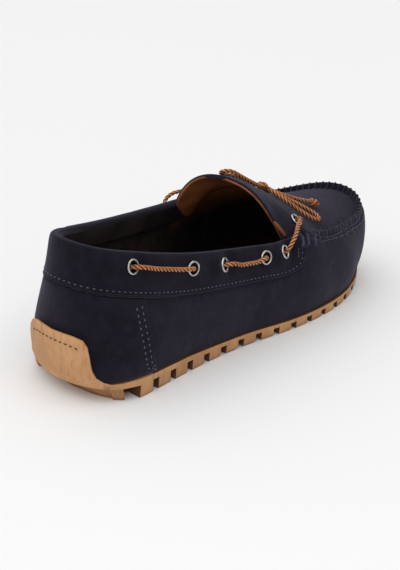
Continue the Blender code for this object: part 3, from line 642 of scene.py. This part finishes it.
def eyeletSeat(node):
    # middle of a CAD ring and the way it faces
    spots = spotsOf(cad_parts[node].data)
    centre = spots.mean(0)
    facing = Vector(np.linalg.svd(spots - centre)[2][2])
    if facing.dot(Vector(centre) - Vector((centre[0] * 0.8, 0.0, 0.03))) < 0:
        facing = -facing
    return Vector(centre), facing


flatSeats = {(side, i): eyeletSeat(f"eyelet_{side}_{i}")
             for side in ("lateral", "medial") for i in range(1, 7)}
# the lace pulls the collar's eyelets round a little, in degrees toward the toe
eyeletPull = {1: 14.0, 2: -6.0, 3: 20.0, 4: -6.0, 5: 20.0, 6: 0.0}


def pulledSeats():
    pulled = {}
    ahead = Vector((1.0, 0.0, 0.25))
    for (side, i), (centre, facing) in flatSeats.items():
        toward = (ahead - facing * facing.dot(ahead)).normalized()
        turn = math.radians(eyeletPull[i])
        pulled[side, i] = (centre, (facing * math.cos(turn) + toward * math.sin(turn)).normalized())
    return pulled


seats = pulledSeats()


# how far from an eyelet's middle the suede follows it fully, and not at all
puckerLook = {"inner": 4.4, "outer": 10.0, "depth": 4.5}


def pucker(piece):
    # the suede round each eyelet follows the way it is pulled
    inner, outer = puckerLook["inner"] * mm, puckerLook["outer"] * mm
    spots = spotsOf(piece.data)
    for key, (centre, facing) in seats.items():
        flat = np.array(flatSeats[key][1])
        away = spots - np.array(centre)
        rise = away @ flat
        spread = away - rise[:, None] * flat
        share = np.clip((outer - np.linalg.norm(spread, axis=1)) / (outer - inner), 0.0, 1.0)
        share = share * share * (3 - 2 * share) * (np.abs(rise) < puckerLook["depth"] * mm)
        wanted = -(spread @ np.array(facing)) / facing.dot(flatSeats[key][1])
        spots = spots + (wanted * share)[:, None] * flat
    moveTo(piece.data, spots)
    return piece


# sag of the rear and middle runs; bow of the front run out from the shoe, and its share along the run
runLook = {
    "sag": (-0.6, -1.5),
    "off": (-6.0, 6.5, 4.0),
    "bow": ((0.1, 0.5), (0.25, 0.8), (0.5, 1.0), (0.76, 0.8)),
}


def laceRuns():
    # the lace comes up through one eyelet, lies on the collar and goes down through the next
    for side, sign in (("lateral", -1), ("medial", 1)):
        for i, (first, last) in enumerate(((1, 2), (3, 4)), start=1):
            (a, na), (b, nb) = seats[side, first], seats[side, last]
            along = (b - a).normalized()
            sag = Vector((0.0, 0.0, runLook["sag"][i - 1] * mm))
            route = [a - na * 2.6 * mm - along * 0.5 * mm, a - na * 0.6 * mm,
                     a + na * 1.3 * mm + along * 0.9 * mm, a + na * 2.5 * mm + along * 3.6 * mm]
            for share in (0.3, 0.5, 0.7):
                normal = (na * (1 - share) + nb * share).normalized()
                route.append(a + (b - a) * share + normal * 2.0 * mm + sag)
            route += [b + nb * 2.5 * mm - along * 3.6 * mm, b + nb * 1.3 * mm - along * 0.9 * mm,
                      b - nb * 0.6 * mm, b - nb * 2.6 * mm + along * 0.5 * mm]
            fit(laidCord(f"laceRun.{side}.{i}", route)[0], "lace_leather", f"lace_{side}_{i}")
        (a, na), (b, nb) = seats[side, 5], seats[side, 6]
        back, out, up = runLook["off"]
        off = Vector((back, sign * out, up)) * mm
        route = [a - na * 2.2 * mm, a + na * 0.6 * mm]
        route += [a + (b - a) * share + off * bow for share, bow in runLook["bow"]]
        route += [b + nb * 2.6 * mm - (b - a).normalized() * 1.2 * mm, b + nb * 0.8 * mm, b - nb * 2.0 * mm]
        fit(laidCord(f"laceRun.{side}.3", route)[0], "lace_leather", f"lace_{side}_3")


laceRuns()
print("lace run through the eyelets")


# Eyelets: a rolled flange and a barrel that goes down through the suede
eyeletLook = {
    "section": ((2.95, -1.8), (3.0, -0.2), (3.1, 0.36), (3.32, 0.68), (3.62, 0.76), (3.92, 0.6),
                (4.18, 0.2), (4.16, -0.3)),
    "steps": 36,
    "wall": 0.2,
    "sink": 0.3,
}


def eyelets():
    for (side, i), (centre, facing) in seats.items():
        bm = bmesh.new()
        line = [bm.verts.new((x * mm, 0.0, z * mm)) for x, z in eyeletLook["section"]]
        edges = [bm.edges.new(pair) for pair in zip(line, line[1:])]
        bmesh.ops.spin(bm, geom=line + edges, cent=(0, 0, 0), axis=(0, 0, 1), angle=2 * math.pi,
                       steps=eyeletLook["steps"], use_merge=True)
        bmesh.ops.remove_doubles(bm, verts=bm.verts, dist=0.005 * mm)
        bmesh.ops.recalc_face_normals(bm, faces=bm.faces)
        bmesh.ops.solidify(bm, geom=bm.faces, thickness=eyeletLook["wall"] * mm)
        bmesh.ops.recalc_face_normals(bm, faces=bm.faces)
        turn = facing.to_track_quat("Z", "Y").to_matrix().to_4x4()
        middle = centre - facing * eyeletLook["sink"] * mm
        bmesh.ops.transform(bm, matrix=Matrix.Translation(middle) @ turn, verts=bm.verts)
        ring = fromForm(f"eyelet.{side}.{i}", bm, [nickelFinish])
        fit(ring, "eyelet_nickel", f"eyelet_{side}_{i}")


eyelets()
print("eyelets set")


holeLook = {"radius": 3.05, "collar": (-4.0, 4.0), "tongue": (-5.0, 4.0)}


def cutHoles(piece, places, reach):
    # round holes along the eyelets' own axes
    low, high = reach
    radius = holeLook["radius"] * mm
    bm = bmesh.new()
    for centre, facing in places:
        made = bmesh.ops.create_cone(bm, cap_ends=True, segments=24, radius1=radius, radius2=radius,
                                     depth=(high - low) * mm)
        middle = centre + facing * (high + low) / 2 * mm
        turn = facing.to_track_quat("Z", "Y").to_matrix().to_4x4()
        bmesh.ops.transform(bm, matrix=Matrix.Translation(middle) @ turn, verts=made["verts"])
    punch = fromForm("punch", bm, [])
    cut = piece.modifiers.new("holes", "BOOLEAN")
    cut.operation = "DIFFERENCE"
    cut.solver = "EXACT"
    cut.object = punch
    settled(piece)
    mesh = punch.data
    bpy.data.objects.remove(punch)
    bpy.data.meshes.remove(mesh)
    return piece


# Moccasin seam: whip stitches over the standing ridge round the apron
ridgeLook = {
    "crest": ((35.0, -39.3, 53.4), (46.6, -40.7, 50.9), (58.0, -41.3, 49.3), (69.5, -40.4, 48.2),
              (81.0, -38.8, 47.7), (92.3, -37.1, 47.0), (102.8, -34.8, 46.6), (111.6, -31.3, 48.0),
              (118.8, -26.4, 50.1), (124.0, -20.4, 51.9), (127.3, -13.2, 53.0), (128.8, -5.3, 53.1),
              (128.8, 2.5, 52.2), (127.5, 9.1, 50.8), (124.9, 14.8, 49.2), (120.8, 19.8, 47.7),
              (114.9, 24.1, 46.4), (107.1, 27.7, 45.9), (98.0, 30.8, 46.4), (87.4, 33.6, 47.6),
              (76.0, 35.8, 49.0), (63.9, 37.2, 50.8), (52.0, 37.8, 52.9), (40.8, 37.8, 55.1)),
    "pitch": 4.4,
    "across": (-2.3, -1.6, -0.8, 0.0, 0.8, 1.6, 2.3),
    "lean": 0.16,
    # radius of a whipped thread, and how far its middle and its ends lie above the suede
    "thread": 0.42,
    "threadRise": 0.3,
    "threadEnds": -0.25,
    "lip": 0.48,
    "lipAside": 0.95,
    "lipRise": 0.1,
    "stitchDrop": 4.7,
    "sideThread": 0.62,
    "sideRise": 0.45,
    "sideEnds": -0.5,
    # upper end and lower end of each: x, z
    "sideWhips": ((25.0, 54.6, 22.0, 49.6), (32.4, 53.4, 29.0, 47.6), (39.6, 51.6, 35.8, 46.1)),
    "tab": {"middle": 29.0, "length": 20.0, "across": 10, "up": 14, "angles": (5.0, 122.0),
            "lift": 0.55, "rimLift": -0.25},
    # top and foot of the short row in front of the collar: x, z
    "frontRow": ((19.6, 49.2), (18.0, 43.6)),
}


# Upper: outer suede, inner lining, with soft creases
upperLook = {
    "ridgeRise": 0.45,
    "gather": 0.40,
    "undercut": 0.9,
    # start, end, half width, depth in mm: minus stands proud
    "creases": (
        ((60, -49, 8), (52, -46, 40), 9.0, 0.9),
        ((84, -46, 8), (70, -45, 40), 8.0, -0.8),
        ((20, -47, 10), (2, -42, 36), 10.0, 0.6),
        ((-30, -40, 12), (-40, -37, 34), 12.0, -0.5),
        ((100, -40, 12), (92, -39, 38), 7.0, 0.7),
        ((56, 46, 8), (60, 40, 44), 9.0, 0.8),
        ((20, 44, 10), (6, 42, 36), 10.0, -0.6),
        ((40, -22, 60), (52, 20, 58), 7.0, 0.5),
    ),
}


# the line inside the shoe that its walls stand round
coreLine = {"heel": -0.095, "toe": 0.085, "height": 0.03}


def wallSide(point, normal):
    # positive on the outer face of the hollow upper
    x = min(max(point[0], coreLine["heel"]), coreLine["toe"])
    return normal.dot(point - Vector((x, 0.0, coreLine["height"])))


def nearest(line, spots):
    # for each spot the nearest point of a line: its number and how far it is
    tree = KDTree(len(line))
    for i, point in enumerate(line):
        tree.insert(point, i)
    tree.balance()
    found = [tree.find(spot) for spot in spots]
    return np.array([f[1] for f in found]), np.array([f[2] for f in found])


def buildUpper():
    crest = smoothRoute(metres(ridgeLook["crest"]), 0.5 * mm)
    bm = formOf("upper")
    creaseEdges(bm, 55, 0.6)
    middles = [face.calc_center_median() for face in bm.faces]
    gaps = nearest(crest, middles)[1]
    for face, middle, gap in zip(bm.faces, middles, gaps):
        outer = wallSide(middle, face.normal) > 0 or gap < 4.2 * mm and face.normal.z > -0.3
        face.material_index = 0 if outer else 1
    piece = smoothed(fromForm("upperShell", bm, [upperFinish, vampLiningFinish]))
    spots = spotsOf(piece.data)
    normals = np.array([v.normal for v in piece.data.vertices])
    centre = np.zeros_like(spots)
    centre[:, 0] = np.clip(spots[:, 0], coreLine["heel"], coreLine["toe"])
    centre[:, 2] = coreLine["height"]
    side = np.sign(((spots - centre) * normals).sum(1))[:, None]
    outward = normals * side
    for start, end, width, depth in upperLook["creases"]:
        a, b = np.array(start) * mm, np.array(end) * mm
        t = np.clip((spots - a) @ (b - a) / ((b - a) @ (b - a)), 0, 1)
        gap = np.linalg.norm(spots - (a + t[:, None] * (b - a)), axis=1) / (width * mm)
        fade = np.exp(-gap ** 2) * np.sin(np.pi * (0.12 + 0.76 * t))
        spots = spots - outward * (depth * mm * fade)[:, None]
    # the seam stands prouder, its lip is undercut and the wall below is gathered at each stitch
    near, gaps = nearest(crest, spots)
    gaps = gaps / mm
    below = (np.array([point.z for point in crest])[near] - spots[:, 2]) / mm
    spots[:, 2] += upperLook["ridgeRise"] * mm * np.exp(-(gaps / 1.6) ** 2)
    wall = ((below > 1.0) & (side[:, 0] > 0)).astype(float)
    tuck = upperLook["undercut"] * np.exp(-((gaps - 3.0) / 1.1) ** 2)
    wave = np.cos(2 * np.pi * near * 0.5 / ridgeLook["pitch"]) * np.exp(-((gaps - 4) / 4.5) ** 2)
    wave = upperLook["gather"] * wave
    spots = spots - outward * ((tuck + wave) * wall * mm)[:, None]
    moveTo(piece.data, spots)
    return pucker(piece)


upper = buildUpper()
fit(upper, "suede", "upper")
print("upper formed")


# Collar band: padded, with holes for the eyelets
collarLook = {"fill": 0.6, "roll": 1.5, "rollFrom": -70.0, "rollTo": -105.0}


def buildCollar():
    bm = formOf("collar_band")
    creaseEdges(bm, 60, 0.55)
    for face in bm.faces:
        middle = face.calc_center_median()
        inside = wallSide(middle, face.normal) < 0 and face.normal.z < 0.3
        face.material_index = 1 if inside else 0
    piece = smoothed(fromForm("collarBand", bm, [collarShadedFinish, liningFinish]))
    places = [seat for (side, i), seat in flatSeats.items() if i < 6]
    cutHoles(piece, places, holeLook["collar"])
    # the roll is fuller inside, round the heel
    start, end = collarLook["rollFrom"] * mm, collarLook["rollTo"] * mm
    for vert in piece.data.vertices:
        share = (start - vert.co.x) / (start - end)
        if share > 0.0 and wallSide(vert.co, vert.normal) < 0:
            level = Vector((vert.normal.x, vert.normal.y, 0.0))
            vert.co += level * collarLook["roll"] * mm * min(share, 1.0)
    return pucker(piece)


collar = buildCollar()
fit(collar, "suede", "collar_band")
print("collar padded")


def buildCounter():
    bm = formOf("heel_counter")
    creaseEdges(bm, 60, 0.6)
    return smoothed(fromForm("heelCounter", bm, [counterShadedFinish]))


counter = buildCounter()
fit(counter, "suede", "heel_counter")


# Tongue: suede above, tan leather below and along the cut edge
tongueLook = {
    "fold": ((14.0, -28.0, 62.0), (15.4, -29.8, 59.8), (16.8, -31.6, 57.8), (18.2, -33.2, 55.6),
             (19.0, -34.2, 53.6)),
    "foldRadius": 1.15,
}


def buildTongue():
    bm = formOf("tongue")
    creaseEdges(bm, 60, 0.7)
    under = bm.verts.layers.float.new("under")
    for vert in bm.verts:
        vert[under] = 0.0 if max(face.normal.z for face in vert.link_faces) > 0.3 else 1.0
    piece = smoothed(fromForm("tongueLeaf", bm, [tongueFinish, tanFinish]))
    depth = piece.data.attributes["under"].data
    for face in piece.data.polygons:
        below = sum(depth[i].value for i in face.vertices) > 2.2
        face.material_index = 1 if below and (face.normal.z < -0.2 or face.normal.x < -0.5) else 0
    return cutHoles(piece, [seats["lateral", 6], seats["medial", 6]], holeLook["tongue"])


tongue = buildTongue()
fit(tongue, "suede", "tongue")


def foldLining():
    # the tan lining shows as a soft fold at the tongue's lateral corner
    skin = skinOf(tongue)
    route = [skin.find_nearest(Vector(p) * mm)[0] for p in tongueLook["fold"]]
    points = smoothRoute(route, 0.6 * mm)
    count = len(points) - 1
    swell = [0.55 + 0.6 * math.sin(math.pi * i / count) ** 0.7 for i in range(count + 1)]
    return tube("tongueFold", points, tongueLook["foldRadius"] * mm, tanFinish, 10, swell)


fit(foldLining(), "suede")


def buildInsole():
    bm = formOf("insole")
    creaseEdges(bm, 60, 0.5)
    return smoothed(fromForm("insoleSock", bm, [insoleFinish]))


insole = buildInsole()
fit(insole, "insole_leather", "insole")
print("tongue and insole made")


# Outsole: moulded rubber with its edges eased
soleLook = {
    "edge": 0.45,
    "footLine": ((-135.9, 0.2), (-134.9, -14.8), (-126.9, -28.4), (-106.2, -34.7), (-76.0, -35.4),
                 (-44.1, -36.6), (-14.3, -40.4), (11.7, -45.4), (36.9, -48.4), (62.1, -48.4), (86.3, -44.6),
                 (107.6, -36.8), (123.9, -25.5), (134.2, -12.1), (137.4, 3.0), (133.7, 16.7), (122.3, 29.1),
                 (104.6, 39.8), (82.3, 47.4), (56.9, 49.4), (32.6, 45.4), (7.7, 38.9), (-18.2, 34.4),
                 (-47.0, 32.9), (-76.9, 33.9), (-105.2, 34.9), (-123.5, 26.8), (-131.7, 14.1)),
    # the flap's stitches: height in the middle, fall to the ends, half length
    "stitchHeight": 31.6,
    "stitchFall": 1.6,
    "stitchHalf": 16.5,
    "block": -113.0,
    # how much painted shade lies on the heel block
    "blockShade": 0.36,
    # height, and how far the heel's rubber is moved outward there
    "flapStand": ((0.0, 5.0, 8.0, 10.0, 13.0, 18.0, 24.0, 30.0, 37.0),
                  (-4.2, -3.4, -2.4, -1.7, -1.4, -0.7, 0.6, 1.5, 1.9)),
}


def buildOutsole():
    bm = formOf("outsole", paired=False)
    bmesh.ops.dissolve_limit(bm, angle_limit=math.radians(1.0), verts=bm.verts, edges=bm.edges)
    piece = fromForm("rubberSole", bm, [rubberFinish])
    ease = piece.modifiers.new("ease", "BEVEL")
    ease.width = soleLook["edge"] * mm
    ease.segments = 2
    ease.limit_method = "ANGLE"
    ease.angle_limit = math.radians(38)
    ease.use_clamp_overlap = True
    ease.harden_normals = True
    settled(piece)
    # the flap stands off the suede at its top, and the heel draws in toward the floor
    for vert in piece.data.vertices:
        back = min(max((-0.112 - vert.co.x) / 0.014, 0.0), 1.0)
        if back > 0.0:
            out = Vector((vert.co.x + 0.100, vert.co.y, 0.0)).normalized()
            vert.co += out * float(np.interp(vert.co.z / mm, *soleLook["flapStand"])) * mm * back
    # painted shade, 1 on the walls of the notches, less on the heel block, 0 on the sole's outer face
    line = metres([(x, y, 0.0) for x, y in (*soleLook["footLine"], soleLook["footLine"][0])])
    line = np.array(smoothRoute(line, 0.5 * mm))[:, :2]
    ahead = np.roll(line, -1, 0) - np.roll(line, 1, 0)
    outward = np.stack([-ahead[:, 1], ahead[:, 0]], 1) / np.linalg.norm(ahead, axis=1)[:, None]
    if outward[0, 0] > 0:
        outward = -outward
    spots = np.array([face.center for face in piece.data.polygons])
    near = nearest([(x, y, 0.0) for x, y in line], [(x, y, 0.0) for x, y, _ in spots])[0]
    inset = -((spots[:, :2] - line[near]) * outward[near]).sum(1) / mm
    front = spots[:, 0] > soleLook["block"] * mm
    low = (spots[:, 2] < 11 * mm + np.maximum(0.0, spots[:, 0] - 0.1) * 0.2) & front
    block = ~front & (spots[:, 2] < 9.5 * mm) & (inset > 0.7)
    value = np.clip((inset - 1.3) / 0.8, 0.0, 1.0) * low + soleLook["blockShade"] * block
    layer = piece.data.attributes.new("hollow", "FLOAT", "FACE")
    layer.data.foreach_set("value", value.astype(np.float32))
    return piece


outsole = buildOutsole()
fit(outsole, "sole_rubber", "outsole")
print("outsole eased")


# Seams and stitches
seamLook = {
    "collarEdge": ((25.3, 44.3, 48.2), (23.2, 45.2, 41.6), (18.7, 44.6, 38.4), (6.9, 42.1, 38.1),
                   (-17.2, 38.3, 40.6), (-45.1, 35.9, 43.6), (-73.4, 33.7, 47.3), (-100.3, 31.6, 51.4),
                   (-118.6, 24.7, 55.2), (-129.4, 14.5, 57.5), (-133.7, 1.0, 58.5), (-130.7, -13.7, 57.5),
                   (-119.3, -24.4, 55.1), (-99.1, -30.7, 50.4), (-71.2, -33.5, 44.3), (-42.3, -36.8, 40.3),
                   (-14.1, -40.7, 37.4), (10.5, -45.0, 35.9), (18.4, -46.2, 37.4), (23.2, -46.3, 40.8),
                   (25.6, -45.0, 46.6)),
    "counterMedial": ((-97.4, 35.6, 11.2), (-100.3, 36.4, 20.5), (-102.4, 35.4, 30.5), (-103.9, 33.2, 41.0),
                      (-104.9, 30.5, 51.4)),
    "counterLateral": ((-97.8, -35.6, 11.2), (-100.7, -36.2, 20.2), (-102.5, -35.0, 30.0),
                       (-103.5, -32.6, 40.3), (-104.0, -29.9, 50.4)),
    "counterRows": (3.0, 6.4),
    "counterBead": 0.22,
    # how far the edge's bead and the stitches lie inside the collar's lower edge
    "collarBead": 0.2,
    "collarBeadAside": 0.9,
    "collarAside": 2.4,
    "collarEase": 4,
}
# length, radius, pitch and lift of the stitches of each seam
stitchLook = {
    "collar": (1.4, 0.28, 3.2, 0.12),
    "counter": (1.4, 0.34, 3.4, 0.16),
    "flap": (1.9, 0.36, 3.1, 0.24),
    "vamp": (1.5, 0.28, 2.9, 0.05),
    "front": (1.2, 0.27, 2.0, 0.1),
}


def onSkin(skin, point, lift=0.0):
    near, normal, _, _ = skin.find_nearest(point)
    return near + normal * lift, normal


def strike(line, skin, start, way, lift=0.0, reach=1.0):
    # adds to a line the place where a ray meets a skin, lifted off it
    place, normal = skin.ray_cast(start, way, reach)[:2]
    if place is not None:
        line.append(place + normal * lift * mm)


def outsideOf(along):
    # level, and away from the shoe for a line that runs round it
    return Vector((along.y, -along.x, 0.0)).normalized()


def stitchForm(length, radius):
    bm = bmesh.new()
    bmesh.ops.create_uvsphere(bm, u_segments=6, v_segments=5, radius=1.0)
    bmesh.ops.scale(bm, vec=(radius * mm, radius * mm, length * mm / 2), verts=bm.verts)
    return bm


def stitchRow(name, points, skin, seam, finish=threadFinish):
    # one thread bead for each stitch, laid on the skin along a line
    length, radius, gap, lift = stitchLook[seam]
    form = stitchForm(length, radius)
    seed = bpy.data.meshes.new("stitch")
    form.to_mesh(seed)
    form.free()
    bm = bmesh.new()
    keys = np.concatenate([[0.0], np.cumsum([(b - a).length for a, b in zip(points, points[1:])])])
    total = keys[-1]
    spots = np.arange(gap * mm / 2, total, gap * mm)
    path = np.array(points)
    for s in spots:
        here = Vector([np.interp(s, keys, path[:, k]) for k in range(3)])
        ahead = Vector([np.interp(min(s + 0.6 * mm, total), keys, path[:, k]) for k in range(3)])
        behind = Vector([np.interp(max(s - 0.6 * mm, 0.0), keys, path[:, k]) for k in range(3)])
        place, normal = onSkin(skin, here, lift * mm)
        along = ahead - behind
        along = (along - normal * along.dot(normal)).normalized()
        side = normal.cross(along)
        start = len(bm.verts)
        bm.from_mesh(seed)
        bm.verts.ensure_lookup_table()
        turn = Matrix((side, normal, along)).transposed().to_4x4()
        bmesh.ops.transform(bm, matrix=Matrix.Translation(place) @ turn, verts=bm.verts[start:])
    bpy.data.meshes.remove(seed)
    bmesh.ops.recalc_face_normals(bm, faces=bm.faces)
    fit(fromForm(name, bm, [finish]), "suede")


def shifted(route, skin, aside):
    # a line on the skin beside a seam: aside is across the line, along the skin
    points = smoothRoute(metres(route), 1.5 * mm)
    made = []
    for point, along in zip(points, headings(points)):
        across = onSkin(skin, point)[1].cross(along).normalized()
        made.append(onSkin(skin, point + across * aside * mm)[0])
    return made


upperSkin = skinOf(upper)
collarSkin = skinOf(collar)
counterSkin = skinOf(counter)
soleSkin = skinOf(outsole)
tongueSkin = skinOf(tongue)


def besideSeam(route, skin, aside):
    # a line at a distance inside the collar's lower edge, found from outside the shoe
    points = smoothRoute(metres(route), 1.5 * mm)
    made = []
    for point, along in zip(points, headings(points)):
        out = outsideOf(along)
        aim = point + out.cross(along).normalized() * aside * mm
        strike(made, skin, aim + out * 0.012, -out, 0.0, 0.02)
    return made


def seams():
    route, ease = seamLook["collarEdge"], seamLook["collarEase"]
    edge = eased(besideSeam(route, collarSkin, seamLook["collarBeadAside"]), ease)
    # the seam beads here and on the counter carry a painted highlight
    fit(tube("collarSeamEdge", edge, seamLook["collarBead"] * mm, edgeHighlightFinish, 6), "suede")
    line = eased(besideSeam(route, collarSkin, seamLook["collarAside"]), ease)
    stitchRow("collarStitches", line, collarSkin, "collar")
    for side, aside in (("Lateral", 1.0), ("Medial", -1.0)):
        route = seamLook["counter" + side]
        edge = [onSkin(counterSkin, p)[0] for p in smoothRoute(metres(route), 1.5 * mm)]
        fit(tube("counterSeamEdge" + side, edge, seamLook["counterBead"] * mm, edgeHighlightFinish, 6), "suede")
        for row, away in enumerate(seamLook["counterRows"], start=1):
            line = shifted(route, counterSkin, aside * away)
            stitchRow(f"counterStitches{side}{row}", line, counterSkin, "counter")
    # a line of stitches along the heel flap, below its top edge
    line = []
    for share in np.linspace(-1.0, 1.0, 25):
        height = soleLook["stitchHeight"] - soleLook["stitchFall"] * abs(share) ** 3
        start = Vector((-170.0, share * soleLook["stitchHalf"], height)) * mm
        strike(line, soleSkin, start, Vector((1.0, 0.0, 0.0)))
    stitchRow("flapStitches", line, soleSkin, "flap", brownThread)


seams()
print("seams sewn")


def whipStitches():
    # a thread over the ridge at each pitch, and a lip along its outer side painted pale as a highlight
    crest = smoothRoute(metres(ridgeLook["crest"]), ridgeLook["pitch"] * mm)
    runs = headings(crest)
    above, down = Vector((0, 0, 0.02)), Vector((0, 0, -1))
    threads = []
    for peak, along in zip(crest[1:-1], runs[1:-1]):
        points = []
        for k, across in enumerate(ridgeLook["across"]):
            spot = peak - outsideOf(along) * across * mm + along * (k * ridgeLook["lean"] * mm)
            ends = k in (0, len(ridgeLook["across"]) - 1)
            strike(points, upperSkin, spot + above, down, ridgeLook["threadEnds" if ends else "threadRise"])
        if len(points) > 2:
            threads.append(tube("whip", smoothRoute(points, 0.6 * mm),
                                ridgeLook["thread"] * mm, whipFinish, 6))
    fit(joined("whipStitches", threads), "suede")
    lip = []
    for point, after, along in zip(crest, crest[1:], runs):
        for share in (0.0, 0.5):
            spot = point.lerp(after, share) + outsideOf(along) * ridgeLook["lipAside"] * mm
            strike(lip, upperSkin, spot + above, down, ridgeLook["lipRise"])
    fit(tube("ridgeLip", eased(lip, 3), ridgeLook["lip"] * mm, lipHighlightFinish, 6), "suede")
    line = [p + Vector((0.0, 0.0, -ridgeLook["stitchDrop"] * mm)) for p in crest[2:-2]]
    outer = []
    for point, along in zip(line, headings(line)):
        outside = outsideOf(along)
        strike(outer, upperSkin, point + outside * 0.012, -outside)
    stitchRow("vampStitches", outer, upperSkin, "vamp")


def cornerHit(x, angle):
    # where a ray aimed at the apron's corner, from an angle above level, meets the shoe
    axis = Vector((x, -38.0, 47.0)) * mm
    away = Vector((0.0, -math.cos(angle), math.sin(angle)))
    skins = (upperSkin, collarSkin, tongueSkin)
    found = [skin.ray_cast(axis + away * 0.03, -away, 0.0285) for skin in skins]
    reach = [(hit[0] - axis).length for hit in found if hit[0] is not None]
    return axis, away, max(reach) if reach else None


def cornerTab():
    # suede laid over the joint of collar, apron and tongue, under the thick threads
    look = ridgeLook["tab"]
    bm = bmesh.new()
    bmesh.ops.create_grid(bm, x_segments=look["across"], y_segments=look["up"], size=0.5)
    angles = np.radians(np.linspace(look["angles"][0], look["angles"][1], look["up"] + 1))
    for vert in bm.verts:
        x = look["middle"] + look["length"] * vert.co.x
        angle = float(np.interp(vert.co.y + 0.5, np.linspace(0, 1, look["up"] + 1), angles))
        known = [(a, cornerHit(x, a)[2]) for a in angles]
        known = np.array([pair for pair in known if pair[1] is not None])
        axis, away, _ = cornerHit(x, angle)
        reach = float(np.interp(angle, known[:, 0], known[:, 1]))
        rim = min(0.5 - abs(vert.co.x), 0.5 - abs(vert.co.y))
        vert.co = axis + away * (reach + look["lift" if rim > 0.02 else "rimLift"] * mm)
    bmesh.ops.recalc_face_normals(bm, faces=bm.faces)
    return smoothed(fromForm("cornerTab", bm, [upperFinish]))


def sideWhips():
    # three thick threads hold the apron's end to the side, and a short row stands below them
    tab = cornerTab()
    fit(tab, "suede")
    tabSkin = skinOf(tab, upper, collar)
    threads = []
    for x, high, lowX, low in ridgeLook["sideWhips"]:
        points = []
        for share in np.linspace(0.0, 1.0, 9):
            start = Vector((x + (lowX - x) * share, -70.0, high + (low - high) * share)) * mm
            hit = tabSkin.ray_cast(start, Vector((0.0, 1.0, 0.0)), 0.036)
            if hit[0] is not None:
                rise = ridgeLook["sideEnds" if share in (0.0, 1.0) else "sideRise"]
                points.append(hit[0] - Vector((0.0, rise * mm, 0.0)))
        if len(points) > 2:
            threads.append(tube("whip", smoothRoute(points, 0.6 * mm),
                                ridgeLook["sideThread"] * mm, navyFinish, 8))
    fit(joined("sideWhips", threads), "suede")
    line = []
    (topX, topZ), (footX, footZ) = ridgeLook["frontRow"]
    for share in np.linspace(0.0, 1.0, 6):
        start = Vector((topX + (footX - topX) * share, -70.0, topZ + (footZ - topZ) * share)) * mm
        hits = [skin.ray_cast(start, Vector((0.0, 1.0, 0.0))) for skin in (upperSkin, collarSkin)]
        line.append(min((hit[0] for hit in hits if hit[0] is not None), key=lambda p: p.y))
    stitchRow("frontStitches", line, collarSkin, "front")


def joined(name, pieces):
    bm = bmesh.new()
    finishes = [pieces[0].data.materials[0]]
    for piece in pieces:
        bm.from_mesh(piece.data)
        mesh = piece.data
        bpy.data.objects.remove(piece)
        bpy.data.meshes.remove(mesh)
    return fromForm(name, bm, finishes)


whipStitches()
sideWhips()
print("apron whip-stitched")
